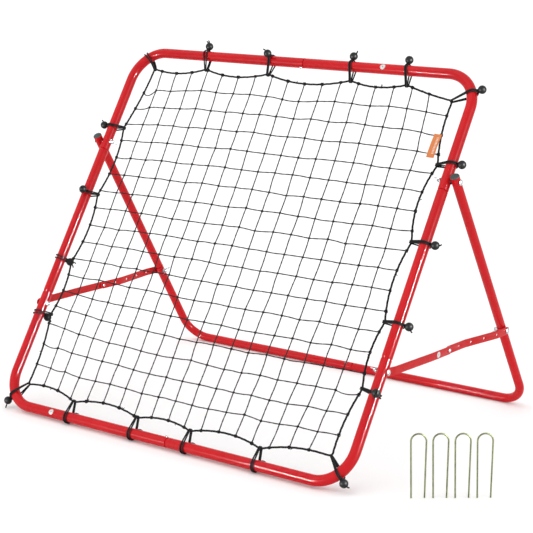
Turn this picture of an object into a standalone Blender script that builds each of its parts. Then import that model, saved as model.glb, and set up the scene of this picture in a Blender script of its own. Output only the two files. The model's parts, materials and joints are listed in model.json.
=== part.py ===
"""Pitch-back rebounder: a steel-tube target frame with a knotted rebound net, leaning on a
folding rear frame that two pairs of flat brace links hold open.

Metres, +Z up, floor at Z = 0, thrower on the -Y side. The front frame and the rear frame are each
drawn in their own plane (X across, Y up the frame, Z to the front) and then leaned by an empty.
"""

import math

import bmesh
import bpy
from mathutils import Matrix, Vector

# ---------------------------------------------------------------- driving dimensions
FRAME_WIDTH = 1.000
FRAME_HEIGHT = 0.972
RAIL_DIA = 0.024
LEG_DIA = 0.021
WALL = 0.0012
CORNER_RADIUS = 0.080
LEG_CORNER_RADIUS = 0.060
FRAME_LEAN = math.radians(33.78)
BAR_BACK = 0.7309
PIVOT_UP = 0.694
BOLT_REACH = 0.4385
SIDE_GAP = 0.003
GAP = 0.0003

# tube joints, in each frame's own plane
TOP_SEAM_X = 0.0176
BOTTOM_SEAM_X = 0.0195
UPPER_SEAM_Y = 0.672
LOWER_SEAM_Y = 0.2825
REAR_SEAM_X = 0.0229
LEG_SEAM_REACH = 0.425
LEG_TOP = 0.0145
INSERT = 0.050
SHOULDER = 0.004
TUBE_RESOLUTION = 4
BEND_STEPS = 6

# fasteners
BOLT_R = 0.0030
BOLT_HOLE_R = 0.0034
HEAD_R = 0.0068
HEAD_HEIGHT = 0.0034
BOLT_TAIL = 0.003
HUB_R = 0.0054
HUB_LENGTH = 0.0065
WING_THICK = 0.0018
KNEE_BOLT_R = 0.0019
KNEE_HEAD_R = 0.0046
KNEE_HEAD_HEIGHT = 0.0024
KNEE_NUT_R = 0.0044
KNEE_NUT_THICK = 0.003
ROUND_STEPS = 12

# snap buttons and their clips
BUTTON_R = 0.0030
BUTTON_HOLE_R = 0.0034
BUTTON_PROUD = 0.0030
BUTTON_INSET = 0.0085
REAR_BUTTON_X = 0.005
CLIP_DEPTH = 0.0044
CLIP_THICK = 0.0006
CLIP_WIDTH = 0.005
CLIP_REACH = 0.022
CLIP_STEPS = 6

# brace links
LINK_WIDTH = 0.018
LINK_THICK = 0.0025
LINK_HOLE_R = 0.0023
ADJUST_HOLE_R = 0.0033
KNEE_X = 0.5090
HOLES_PER_LINK = 5
LEG_FLUSH = 0.045
RAIL_FLUSH = 0.0115
# both links stay flat this far from the knee, so that they pass each other when they fold
KNEE_FLUSH = 0.072
# the front link steps out to pass over a ball tie when it folds
TIE_STEP = 0.0035
TIE_STEP_LENGTH = 0.010

# net, cords and balls
CORD_R = 0.0015
ROPE_R = 0.0020
BALL_R = 0.0095
NET_THICK = 0.002
SAG_RATIO = 0.075
SPAN_STEPS = 3
RAIL_WRAP_STEPS = 8
ROPE_WRAP_STEPS = 3
ROPE_ORBIT = 0.0048
CORNER_ORBIT = 0.0095
TIE_HOLE_R = 0.0033
TIE_HOLE_STEPS = 8
BALL_BITE = 0.0013

# each tie: place along its rail, slip of the ball along the rail, angle of the ball about the
# rail (0 is outside the frame, positive is to the front)
TOP_TIES = ((-0.265, 0.013, 9), (-0.076, 0.004, 74), (0.160, 0.012, 9), (0.311, 0.013, 9))
BOTTOM_TIES = ((-0.2806, 0.001, -110), (-0.086, 0.002, -110), (0.068, 0.002, -110),
               (0.2605, 0.003, -110))
LEFT_TIES = ((0.231, 0, -106), (0.369, -0.006, -115), (0.551, 0, 105), (0.7345, 0, 12))
RIGHT_TIES = ((0.2105, -0.008, 55), (0.361, 0, -9), (0.5455, 0, 0), (0.728, 0.007, 0))
TOP_REACH = 0.0355
BOTTOM_REACH = 0.0368
LEFT_REACH = 0.0360
RIGHT_REACH = 0.0325
# each net corner: x, y, slip and angle of its ball
CORNER_TIES = ((-0.4256, 0.9025, 0.015, -53), (0.4388, 0.8826, 0.002, 0),
               (0.4375, 0.0567, -0.006, 0), (-0.4366, 0.0520, 0.004, 0))

# ground stakes, standing in a row beside the frame
STAKE_WIRE_R = 0.00175
STAKE_HEIGHT = 0.1385
STAKE_TOP_WIDTH = 0.030
STAKE_TIP_WIDTH = 0.0258
STAKE_PITCH = 0.0447
STAKE_COUNT = 4
# the tips splay, so the start is a hair above the floor
STAKE_START = (0.6176, 0.0765, 0.00005)
STAKE_HEADING = math.radians(36.8)

# ---------------------------------------------------------------- what follows from them
RAIL_R = RAIL_DIA / 2
LEG_R = LEG_DIA / 2
TUBE_SIDES = 4 + 2 * TUBE_RESOLUTION
RAIL_X = FRAME_WIDTH / 2 - RAIL_R
RAIL_TOP = FRAME_HEIGHT - RAIL_DIA
LEG_X = FRAME_WIDTH / 2 + SIDE_GAP + LEG_R
RAIL_WRAP = (RAIL_R + GAP + CORD_R) / math.cos(math.radians(106) / RAIL_WRAP_STEPS)
BALL_ORBIT = RAIL_WRAP + CORD_R + BALL_R - BALL_BITE
RAIL_Z = RAIL_WRAP + CORD_R
BAR_Z = LEG_R * math.cos(math.pi / TUBE_SIDES)
UP_FRAME = Vector((0, math.sin(FRAME_LEAN), math.cos(FRAME_LEAN)))
PIVOT = Vector((0, 0, RAIL_Z)) + UP_FRAME * PIVOT_UP
BAR = Vector((0, BAR_BACK, BAR_Z))
UP_LEG = (PIVOT - BAR).normalized()
LEG_LENGTH = (PIVOT - BAR).length
RAIL_BOLT = PIVOT - UP_FRAME * BOLT_REACH
LEG_BOLT = PIVOT - UP_LEG * BOLT_REACH
LINK_REACH = (LEG_BOLT - RAIL_BOLT).length / 2
HOLE_PITCH = LINK_REACH / HOLES_PER_LINK
RAIL_BOLT_Y = PIVOT_UP - BOLT_REACH
# across the frame: faces that plates, heads and nuts sit against
RAIL_OUTSIDE = RAIL_X + RAIL_R + GAP
LEG_OUTSIDE = LEG_X + LEG_R + GAP
RAIL_INSIDE = RAIL_X - RAIL_R - GAP
LEG_INSIDE = LEG_X - LEG_R - GAP
SPIGOT = (RAIL_R - WALL - GAP) / RAIL_R
LEG_SPIGOT = (LEG_R - WALL - GAP) / LEG_R


def tilt_of(up):
    """Turn about X that lays an object's Y axis along up."""
    return math.atan2(up.z, up.y)


# a facet of the rear bar lies flat on the floor: turn of the tube's sides about its own axis
FACET_TURN = math.pi - tilt_of(UP_LEG) - math.pi / TUBE_SIDES - math.pi / 2


def clear_scene():
    for item in list(bpy.data.objects):
        bpy.data.objects.remove(item, do_unlink=True)


def new_collection(name):
    collection = bpy.data.collections.new(name)
    bpy.context.scene.collection.children.link(collection)
    return collection


def material(name, colour, roughness, metallic=0.0):
    made = bpy.data.materials.new(name)
    made.use_nodes = True
    shader = made.node_tree.nodes["Principled BSDF"]
    shader.inputs["Base Color"].default_value = (*colour, 1)
    shader.inputs["Roughness"].default_value = roughness
    shader.inputs["Metallic"].default_value = metallic
    return made


clear_scene()
PARTS = new_collection("pitch_back_rebounder")
CUTTERS = new_collection("cutters")
RED = material("red_powder_coat", (0.75, 0.02, 0.03), 0.3)
BLACK_CORD = material("black_cord", (0.02, 0.02, 0.02), 0.8)
BLACK_PLASTIC = material("black_plastic", (0.02, 0.02, 0.02), 0.35)
GREY_PLASTIC = material("grey_plastic", (0.16, 0.19, 0.19), 0.5)
ZINC = material("zinc_plate", (0.7, 0.72, 0.72), 0.3, 1.0)
STAKE_ZINC = material("yellow_zinc", (0.42, 0.42, 0.24), 0.4, 1.0)
SPRING_STEEL = material("spring_steel", (0.35, 0.36, 0.38), 0.35, 1.0)


# ---------------------------------------------------------------- placing things
def empty(name, location, tilt, parent):
    made = bpy.data.objects.new(name, None)
    PARTS.objects.link(made)
    made.location = location
    made.rotation_euler = (tilt, 0, 0)
    made.parent = parent
    return made


def place(name, mesh, parent, colour, location=(0, 0, 0)):
    made = bpy.data.objects.new(name, mesh)
    PARTS.objects.link(made)
    made.parent = parent
    made.location = location
    mesh.materials.clear()
    mesh.materials.append(colour)
    mesh.shade_smooth()
    mesh.set_sharp_from_angle(angle=math.radians(35))
    return made


def carve(target, name, mesh, operation="DIFFERENCE"):
    """Cuts target with a tool drawn in target's own axes."""
    tool = bpy.data.objects.new(name, mesh)
    CUTTERS.objects.link(tool)
    tool.parent = target
    tool.hide_render = True
    tool.display_type = "WIRE"
    cut = target.modifiers.new(name, "BOOLEAN")
    cut.operation = operation
    cut.solver = "EXACT"
    cut.object = tool


# ---------------------------------------------------------------- shape makers
def evaluated_mesh(holder):
    """The finished mesh of an object, which is then removed."""
    PARTS.objects.link(holder)
    bpy.context.view_layer.update()
    finished = holder.evaluated_get(bpy.context.evaluated_depsgraph_get())
    mesh = bpy.data.meshes.new_from_object(finished)
    bpy.data.objects.remove(holder, do_unlink=True)
    return mesh


def welded(mesh, closed=True):
    body = bmesh.new()
    body.from_mesh(mesh)
    bmesh.ops.remove_doubles(body, verts=body.verts, dist=0.00002)
    if closed:
        bmesh.ops.recalc_face_normals(body, faces=body.faces)
    body.to_mesh(mesh)
    body.free()
    return mesh


def wire_mesh(points, radius, resolution, cyclic=False, caps=True, scales=None, turn=0.0):
    """A round bar along points; an open sleeve when caps is off."""
    curve = bpy.data.curves.new("wire", "CURVE")
    curve.dimensions = "3D"
    curve.bevel_depth = radius
    curve.bevel_resolution = resolution
    curve.use_fill_caps = caps
    spline = curve.splines.new("POLY")
    spline.points.add(len(points) - 1)
    spline.use_cyclic_u = cyclic
    for index, point in enumerate(points):
        spline.points[index].co = (*point, 1)
        spline.points[index].tilt = turn
        spline.points[index].radius = scales[index] if scales else 1.0
    mesh = evaluated_mesh(bpy.data.objects.new("wire", curve))
    return welded(mesh, closed=caps or cyclic)


def outline_mesh(loops, thickness):
    """A flat plate in XY, centred on Z = 0: the first loop is its rim and the rest its holes."""
    curve = bpy.data.curves.new("outline", "CURVE")
    curve.dimensions = "2D"
    curve.fill_mode = "BOTH"
    curve.extrude = thickness / 2
    for loop in loops:
        spline = curve.splines.new("POLY")
        spline.points.add(len(loop) - 1)
        spline.use_cyclic_u = True
        for index, point in enumerate(loop):
            spline.points[index].co = (point[0], point[1], 0, 1)
    return welded(evaluated_mesh(bpy.data.objects.new("outline", curve)))


def turned_mesh(profile, steps=ROUND_STEPS, ring=False):
    """A solid turned about Z. The profile runs down its outer side; a ring's comes back up."""
    mesh = bpy.data.meshes.new("profile")
    edges = [(index, index + 1) for index in range(len(profile) - 1)]
    if ring:
        edges.append((len(profile) - 1, 0))
    mesh.from_pydata([(radius, 0, height) for radius, height in profile], edges, [])
    holder = bpy.data.objects.new("turned", mesh)
    screw = holder.modifiers.new("turn", "SCREW")
    screw.steps = steps
    screw.render_steps = steps
    screw.use_merge_vertices = True
    screw.merge_threshold = 0.00001
    return welded(evaluated_mesh(holder))


def rod_mesh(radius, bottom, top):
    return turned_mesh([(0, top), (radius, top), (radius, bottom), (0, bottom)])


def ball_mesh(radius, centre):
    mesh = bpy.data.meshes.new("ball")
    body = bmesh.new()
    bmesh.ops.create_icosphere(body, subdivisions=2, radius=radius,
                               matrix=Matrix.Translation(centre))
    body.to_mesh(mesh)
    body.free()
    return mesh


def joined(meshes):
    """One mesh of several separate solids."""
    mesh = bpy.data.meshes.new("joined")
    body = bmesh.new()
    for source in meshes:
        body.from_mesh(source)
    body.to_mesh(mesh)
    body.free()
    return mesh


def combined(first, second, operation):
    """The union or the common part of two solids."""
    tool = bpy.data.objects.new("tool", second)
    CUTTERS.objects.link(tool)
    holder = bpy.data.objects.new("holder", first)
    cut = holder.modifiers.new("combine", "BOOLEAN")
    cut.operation = operation
    cut.solver = "EXACT"
    cut.object = tool
    mesh = evaluated_mesh(holder)
    bpy.data.objects.remove(tool, do_unlink=True)
    return mesh


def moved(mesh, matrix):
    copy = mesh.copy()
    copy.transform(matrix)
    return copy


def across(mesh, side, x, y=0.0, z=0.0):
    """Points a shape's +Z outwards along X on one side (1 right, -1 left), with its 0 at x."""
    turn = Matrix.Rotation(math.radians(90) * side, 4, "Y")
    return moved(mesh, Matrix.Translation((side * x, y, z)) @ turn)


def circle(x, y, radius, steps=ROUND_STEPS):
    return [(x + radius * math.cos(2 * math.pi * step / steps),
             y + radius * math.sin(2 * math.pi * step / steps)) for step in range(steps)]


def ribbon(points, thickness):
    """The closed outline of a strip that follows points."""
    points = [Vector(point) for point in points]
    left, right = [], []
    for index, point in enumerate(points):
        before = points[max(index - 1, 0)]
        after = points[min(index + 1, len(points) - 1)]
        way = (after - before).normalized()
        side = Vector((-way.y, way.x)) * thickness / 2
        left.append(point + side)
        right.append(point - side)
    return left + right[::-1]


# ---------------------------------------------------------------- tubes
def corner_path(start, corner, end, radius):
    """Straight to a corner, round it on an arc, and straight on."""
    start, corner, end = Vector((*start, 0)), Vector((*corner, 0)), Vector((*end, 0))
    back = (start - corner).normalized()
    onward = (end - corner).normalized()
    centre = corner + (back + onward) * radius
    path = [start]
    for step in range(BEND_STEPS + 1):
        angle = math.pi / 2 * step / BEND_STEPS
        path.append(centre - onward * radius * math.cos(angle) - back * radius * math.sin(angle))
    return path + [end]


def tube(name, parent, points, radius, spigots=(), spigot_scale=SPIGOT, turn=0.0):
    """A hollow tube. A spigot is a narrowed end that goes INSERT deep into the next tube."""
    points = [Vector(point) for point in points]
    scales = [1.0] * len(points)
    if "start" in spigots:
        way = (points[1] - points[0]).normalized()
        points[0:1] = [points[0] - way * INSERT, points[0] + way * GAP, points[0] + way * SHOULDER]
        scales[0:1] = [spigot_scale, spigot_scale, 1.0]
    if "end" in spigots:
        way = (points[-2] - points[-1]).normalized()
        points[-1:] = [points[-1] + way * SHOULDER, points[-1] + way * GAP, points[-1] - way * INSERT]
        scales[-1:] = [1.0, spigot_scale, spigot_scale]
    mesh = wire_mesh(points, radius, TUBE_RESOLUTION, caps=False, scales=scales, turn=turn)
    made = place(name, mesh, parent, RED)
    wall = made.modifiers.new("wall", "SOLIDIFY")
    wall.thickness = WALL
    wall.offset = -1
    return made


def drill_across(target, side, x, y):
    """A bolt hole through both walls of an upright tube."""
    hole = across(rod_mesh(BOLT_HOLE_R, -RAIL_R * 1.5, RAIL_R * 1.5), side, x, y)
    carve(target, target.name + "_bolt_hole", hole)


def drill_up(target, x, y, way, radius):
    """A button hole through one wall of a level tube, up or down its frame's plane."""
    turn = Matrix.Rotation(math.radians(-90 * way), 4, "X")
    hole = moved(rod_mesh(BUTTON_HOLE_R, radius * 0.3, radius * 1.5),
                 Matrix.Translation((x, y, 0)) @ turn)
    carve(target, target.name + "_button_hole", hole)


def front_tubes(plane):
    lower_left, lower_right = (-RAIL_X, 0), (RAIL_X, 0)
    upper_left, upper_right = (-RAIL_X, RAIL_TOP), (RAIL_X, RAIL_TOP)
    top_left = tube("top_left_tube", plane, corner_path(
        (-RAIL_X, UPPER_SEAM_Y), upper_left, (TOP_SEAM_X, RAIL_TOP), CORNER_RADIUS), RAIL_R)
    top_right = tube("top_right_tube", plane, corner_path(
        (RAIL_X, UPPER_SEAM_Y), upper_right, (TOP_SEAM_X, RAIL_TOP), CORNER_RADIUS), RAIL_R, ("end",))
    bottom_left = tube("bottom_left_tube", plane, corner_path(
        (-RAIL_X, LOWER_SEAM_Y), lower_left, (BOTTOM_SEAM_X, 0), CORNER_RADIUS), RAIL_R)
    bottom_right = tube("bottom_right_tube", plane, corner_path(
        (RAIL_X, LOWER_SEAM_Y), lower_right, (BOTTOM_SEAM_X, 0), CORNER_RADIUS), RAIL_R, ("end",))
    for side, name, upper, lower in ((-1, "left_side_tube", top_left, bottom_left),
                                     (1, "right_side_tube", top_right, bottom_right)):
        straight = tube(name, plane, [(side * RAIL_X, LOWER_SEAM_Y, 0), (side * RAIL_X, UPPER_SEAM_Y, 0)],
                        RAIL_R, ("start", "end"))
        drill_across(upper, side, RAIL_X, PIVOT_UP)
        drill_across(straight, side, RAIL_X, PIVOT_UP)
        drill_across(straight, side, RAIL_X, RAIL_BOLT_Y)
        drill_across(lower, side, RAIL_X, RAIL_BOLT_Y)
    for each in (top_left, top_right):
        drill_up(each, TOP_SEAM_X - BUTTON_INSET, RAIL_TOP, -1, RAIL_R)
    for each in (bottom_left, bottom_right):
        drill_up(each, BOTTOM_SEAM_X - BUTTON_INSET, 0, 1, RAIL_R)


def rear_tubes(plane):
    """Drawn from the left leg's top round to the right leg's, so the facets line up."""
    seam_y = -LEG_SEAM_REACH
    left_leg = tube("left_leg_tube", plane, [(-LEG_X, LEG_TOP, 0), (-LEG_X, seam_y, 0)],
                    LEG_R, ("end",), LEG_SPIGOT, FACET_TURN)
    right_leg = tube("right_leg_tube", plane, [(LEG_X, seam_y, 0), (LEG_X, LEG_TOP, 0)],
                     LEG_R, ("start",), LEG_SPIGOT, FACET_TURN)
    left_bar = tube("rear_left_tube", plane, corner_path(
        (-LEG_X, seam_y), (-LEG_X, -LEG_LENGTH), (REAR_SEAM_X, -LEG_LENGTH), LEG_CORNER_RADIUS),
        LEG_R, turn=FACET_TURN)
    right_bar = tube("rear_right_tube", plane, corner_path(
        (REAR_SEAM_X, -LEG_LENGTH), (LEG_X, -LEG_LENGTH), (LEG_X, seam_y), LEG_CORNER_RADIUS),
        LEG_R, ("start",), LEG_SPIGOT, FACET_TURN)
    for side, leg, bar in ((-1, left_leg, left_bar), (1, right_leg, right_bar)):
        drill_across(leg, side, LEG_X, 0)
        drill_across(leg, side, LEG_X, -BOLT_REACH)
        drill_across(bar, side, LEG_X, -BOLT_REACH)
    for each in (left_bar, right_bar):
        drill_up(each, REAR_BUTTON_X, -LEG_LENGTH, 1, LEG_R)


def leg_caps(plane):
    plug_r = (LEG_R - WALL) * math.cos(math.pi / TUBE_SIDES) - GAP
    dome = [(0, 0.0040), (LEG_R * 0.55, 0.0036), (LEG_R * 0.88, 0.0024), (LEG_R, 0.0010), (LEG_R, GAP),
            (plug_r, GAP), (plug_r, -0.007), (0, -0.007)]
    for side, name in ((-1, "left_leg_cap"), (1, "right_leg_cap")):
        upright = Matrix.Rotation(math.radians(-90), 4, "X")
        place(name, moved(turned_mesh(dome), upright), plane, GREY_PLASTIC, (side * LEG_X, LEG_TOP, 0))


# ---------------------------------------------------------------- fasteners
def bolt_mesh(length, shank_r=BOLT_R, head_r=HEAD_R, head_height=HEAD_HEIGHT):
    """A round-head bolt along Z, with the underside of its head at 0."""
    return turned_mesh([(0, head_height), (head_r * 0.55, head_height * 0.86),
                        (head_r * 0.9, head_height * 0.42), (head_r, 0), (shank_r, 0),
                        (shank_r, -length), (0, -length)])


def wing_nut_mesh():
    """Bore along Z, seat at 0, wings leaning away from the seat."""
    hub = turned_mesh([(HUB_R * 0.86, HUB_LENGTH), (HUB_R, 0.0006), (HUB_R, 0), (BOLT_HOLE_R, 0),
                       (BOLT_HOLE_R, HUB_LENGTH)], ring=True)
    wing = [(0.0042, 0.0012), (0.0070, 0.0016), (0.0115, 0.0050), (0.0145, 0.0088), (0.0137, 0.0108),
            (0.0116, 0.0108), (0.0082, 0.0080), (0.0042, 0.0058)]
    upright = Matrix.Rotation(math.radians(90), 4, "X")
    one = moved(outline_mesh([wing], WING_THICK), upright)
    other = moved(one, Matrix.Rotation(math.pi, 4, "Z"))
    return combined(hub, joined([one, other]), "UNION")


def frame_bolts(plane):
    tail_x = RAIL_INSIDE - HUB_LENGTH - BOLT_TAIL
    head_x = RAIL_OUTSIDE + LINK_THICK + GAP
    pivot = bolt_mesh(LEG_OUTSIDE - tail_x)
    rail = bolt_mesh(head_x - tail_x)
    for side, word in ((-1, "left"), (1, "right")):
        place("pivot_bolt_" + word, across(pivot, side, LEG_OUTSIDE), plane, ZINC, (0, PIVOT_UP, 0))
        place("rail_bolt_" + word, across(rail, side, head_x), plane, ZINC, (0, RAIL_BOLT_Y, 0))


def leg_bolts(plane):
    head_x = LEG_OUTSIDE + LINK_THICK + GAP
    tail_x = LEG_INSIDE - HUB_LENGTH - BOLT_TAIL
    bolt = bolt_mesh(head_x - tail_x)
    for side, word in ((-1, "left"), (1, "right")):
        place("leg_bolt_" + word, across(bolt, side, head_x), plane, ZINC, (0, -BOLT_REACH, 0))


def wing_nuts(front_plane, leg_plane):
    nut = wing_nut_mesh()
    for side, word in ((-1, "left"), (1, "right")):
        for name, plane, x, y in (("pivot", front_plane, RAIL_INSIDE, PIVOT_UP),
                                  ("rail", front_plane, RAIL_INSIDE, RAIL_BOLT_Y),
                                  ("leg", leg_plane, LEG_INSIDE, -BOLT_REACH)):
            place(name + "_wing_nut_" + word, across(nut, -side, 0), plane, ZINC, (side * x, y, 0))


# ---------------------------------------------------------------- brace links
def link_mesh(side, bends, holes):
    """A flat bar along +Y from Y = 0 to LINK_REACH, joggled in X by (y, x) bends."""
    profile = outline_mesh([ribbon([(side * x, y) for y, x in bends], LINK_THICK)], LINK_WIDTH)
    half = LINK_WIDTH / 2
    quarter = ROUND_STEPS // 2
    start = [(-half * math.sin(math.pi * step / quarter), -half * math.cos(math.pi * step / quarter))
             for step in range(quarter + 1)]
    end = [(LINK_REACH - y, -z) for y, z in start]
    stadium = outline_mesh([start + end] + [circle(y, 0, radius) for y, radius in holes], 0.05)
    # the outline's plane becomes YZ
    turn = Matrix(((0, 0, 1, side * KNEE_X), (1, 0, 0, 0), (0, 1, 0, 0), (0, 0, 0, 1)))
    return combined(profile, moved(stadium, turn), "INTERSECT")


def front_link(side, word, plane):
    flush = RAIL_OUTSIDE + LINK_THICK / 2
    outer = KNEE_X + GAP / 2 + LINK_THICK / 2
    past = LINK_WIDTH / 2 + 0.001
    bends = ((-past, flush), (RAIL_FLUSH, flush), (RAIL_FLUSH + TIE_STEP_LENGTH, flush + TIE_STEP),
             (LINK_REACH - KNEE_FLUSH, outer), (LINK_REACH + past, outer))
    mesh = link_mesh(side, bends, ((0, BOLT_HOLE_R), (LINK_REACH, LINK_HOLE_R)))
    place("front_link_" + word, mesh, plane, RED)
    # the bolt stops at the link's inner face, where the linkage is open
    bolt = bolt_mesh(LINK_THICK + GAP, KNEE_BOLT_R, KNEE_HEAD_R, KNEE_HEAD_HEIGHT)
    place("knee_bolt_" + word, across(bolt, side, outer + LINK_THICK / 2 + GAP), plane, ZINC,
          (0, LINK_REACH, 0))


def rear_link(side, word, plane):
    """The rear link and its knee nut, which reach back from the leg bolt to the knee."""
    inner = KNEE_X - GAP / 2 - LINK_THICK / 2
    flush = LEG_OUTSIDE + LINK_THICK / 2
    past = LINK_WIDTH / 2 + 0.001
    bends = ((-past, inner), (KNEE_FLUSH, inner), (LINK_REACH - LEG_FLUSH, flush),
             (LINK_REACH + past, flush))
    holes = [(0, LINK_HOLE_R)]
    holes += [(HOLE_PITCH * step, ADJUST_HOLE_R) for step in range(1, HOLES_PER_LINK)]
    mesh = link_mesh(side, bends, holes + [(LINK_REACH, BOLT_HOLE_R)])
    knee = (0, -LINK_REACH, 0)
    place("rear_link_" + word, mesh, plane, RED, knee)
    seat = -LINK_THICK - GAP
    stub = rod_mesh(KNEE_BOLT_R, seat - KNEE_NUT_THICK - 0.001, 0)
    nut = moved(outline_mesh([circle(0, 0, KNEE_NUT_R, 6)], KNEE_NUT_THICK),
                Matrix.Translation((0, 0, seat - KNEE_NUT_THICK / 2)))
    place("knee_nut_" + word, across(combined(stub, nut, "UNION"), side, KNEE_X - GAP / 2), plane, ZINC,
          knee)


# ---------------------------------------------------------------- snap buttons
def snap_button(name, plane, x, y, way, tube_r):
    """A domed button on a sprung clip, which has room to go in by the button's travel."""
    turn = Matrix.Rotation(math.radians(0 if way > 0 else 180), 4, "X")
    arm_top = tube_r - CLIP_DEPTH
    tip = tube_r + BUTTON_PROUD
    upright = turn @ Matrix.Rotation(math.radians(-90), 4, "X")
    dome = turned_mesh([(0, tip), (BUTTON_R * 0.6, tip - 0.0005), (BUTTON_R * 0.92, tip - 0.0016),
                        (BUTTON_R, tip - 0.0026), (BUTTON_R, arm_top - CLIP_THICK / 2),
                        (0, arm_top - CLIP_THICK / 2)])
    high = arm_top - CLIP_THICK / 2
    low = BUTTON_PROUD + CLIP_THICK - arm_top
    rise = (high - low) / 2
    path = [(-0.004, high)]
    for step in range(CLIP_STEPS + 1):
        angle = math.pi * (0.5 - step / CLIP_STEPS)
        path.append((CLIP_REACH + rise * math.cos(angle), low + rise + rise * math.sin(angle)))
    path.append((-0.002, low))
    clip = outline_mesh([ribbon(path, CLIP_THICK)], CLIP_WIDTH)
    button = combined(moved(dome, upright), moved(clip, turn), "UNION")
    place(name + "_button", button, plane, SPRING_STEEL, (x, y, 0))


# ---------------------------------------------------------------- net, ties and balls
def straight_spot(point, outward):
    """Takes (along, out, front) to a place by a straight rail."""
    ox, oy = outward

    def spot(along, out, front):
        return Vector((point[0] - oy * along + ox * out, point[1] + ox * along + oy * out, front))
    return spot


def bend_spot(corner):
    """The same, by the corner bend that a net corner is pulled towards."""
    side_x = math.copysign(1, corner[0])
    side_y = 1 if corner[1] > RAIL_TOP / 2 else 0
    centre = Vector((side_x * (RAIL_X - CORNER_RADIUS),
                     RAIL_TOP - CORNER_RADIUS if side_y else CORNER_RADIUS))
    pull = Vector(corner) - centre
    heading = math.atan2(pull.y, pull.x)

    def spot(along, out, front):
        angle = heading + along / CORNER_RADIUS
        reach = CORNER_RADIUS + out
        return Vector((centre.x + reach * math.cos(angle), centre.y + reach * math.sin(angle), front))
    return spot, CORNER_RADIUS - pull.length


def tie_loop(spot, reach, slip, rope_orbit):
    """A cord loop round the rail and round the net's edge, like a belt on two pulleys."""
    flare = math.acos((RAIL_WRAP - rope_orbit) / reach)
    path = []
    for step in range(RAIL_WRAP_STEPS + 1):
        angle = flare + (2 * math.pi - 2 * flare) * step / RAIL_WRAP_STEPS
        path.append((RAIL_WRAP * math.cos(angle), RAIL_WRAP * math.sin(angle)))
    for step in range(ROPE_WRAP_STEPS + 1):
        angle = -flare + 2 * flare * step / ROPE_WRAP_STEPS
        path.append((reach + rope_orbit * math.cos(angle), rope_orbit * math.sin(angle)))
    points = [spot(slip * max(reach - inward, 0) / (reach + RAIL_WRAP), -inward, front)
              for inward, front in path]
    return wire_mesh(points, CORD_R, 1, cyclic=True)


def tie_ball(spot, slip, angle):
    turn = math.radians(angle)
    return ball_mesh(BALL_R, spot(slip, BALL_ORBIT * math.cos(turn), BALL_ORBIT * math.sin(turn)))


def ball_tie(name, plane, spot, reach, slip, angle, rope_orbit):
    tie = combined(tie_loop(spot, reach, slip, rope_orbit), tie_ball(spot, slip, angle), "UNION")
    place(name, tie, plane, BLACK_CORD)


def side_ties(name, plane, ties, outward, reach):
    for number, (along, slip, angle) in enumerate(ties, 1):
        if outward[0]:
            point = (outward[0] * RAIL_X, along)
        else:
            point = (along, RAIL_TOP if outward[1] > 0 else 0)
        ball_tie(name + "_tie_" + str(number), plane, straight_spot(point, outward), reach, slip,
                 angle, ROPE_ORBIT)


def corner_ties(plane):
    for x, y, slip, angle in CORNER_TIES:
        spot, reach = bend_spot((x, y))
        name = ("top_" if y > RAIL_TOP / 2 else "bottom_") + ("right" if x > 0 else "left")
        ball_tie(name + "_corner_tie", plane, spot, reach, slip, angle, CORNER_ORBIT)


def net_anchors():
    """Where the ties hold the net's border, clockwise from the upper left corner."""
    corners = [Vector((x, y)) for x, y, slip, angle in CORNER_TIES]
    top = [Vector((tie[0], RAIL_TOP - TOP_REACH)) for tie in TOP_TIES]
    right = [Vector((RAIL_X - RIGHT_REACH, tie[0])) for tie in reversed(RIGHT_TIES)]
    bottom = [Vector((tie[0], BOTTOM_REACH)) for tie in reversed(BOTTOM_TIES)]
    left = [Vector((LEFT_REACH - RAIL_X, tie[0])) for tie in LEFT_TIES]
    return [corners[0]] + top + [corners[1]] + right + [corners[2]] + bottom + [corners[3]] + left


def tie_holes():
    """Where each tie's cord passes through the net, just inside the border rope."""
    holes = []
    for anchor in net_anchors():
        cornered = any((anchor - Vector(tie[:2])).length < GAP for tie in CORNER_TIES)
        if cornered:
            spot, reach = bend_spot(anchor)
            at = spot(0, -reach - CORNER_ORBIT, 0)
        else:
            level = abs(abs(anchor.x) - RAIL_X) > TOP_REACH * 1.5
            inward = Vector((0, RAIL_TOP / 2 - anchor.y)) if level else Vector((-anchor.x, 0))
            at = anchor + inward.normalized() * (ROPE_ORBIT + CORD_R / 2)
        holes.append(circle(at.x, at.y, TIE_HOLE_R, TIE_HOLE_STEPS))
    return holes


def border_path():
    """The border rope, slack between its ties."""
    anchors = net_anchors()
    path = []
    for index, start in enumerate(anchors):
        end = anchors[(index + 1) % len(anchors)]
        span = end - start
        inward = Vector((span.y, -span.x))
        for step in range(SPAN_STEPS):
            part = step / SPAN_STEPS
            path.append(start + span * part + inward * SAG_RATIO * 4 * part * (1 - part))
    return path


def net(plane):
    """A plain panel in place of the mesh, with the border rope round it."""
    path = border_path()
    rope = wire_mesh([(x, y, 0) for x, y in path], ROPE_R, 1, cyclic=True)
    panel = outline_mesh([path] + tie_holes(), NET_THICK)
    place("net", combined(panel, rope, "UNION"), plane, BLACK_CORD)


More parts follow.
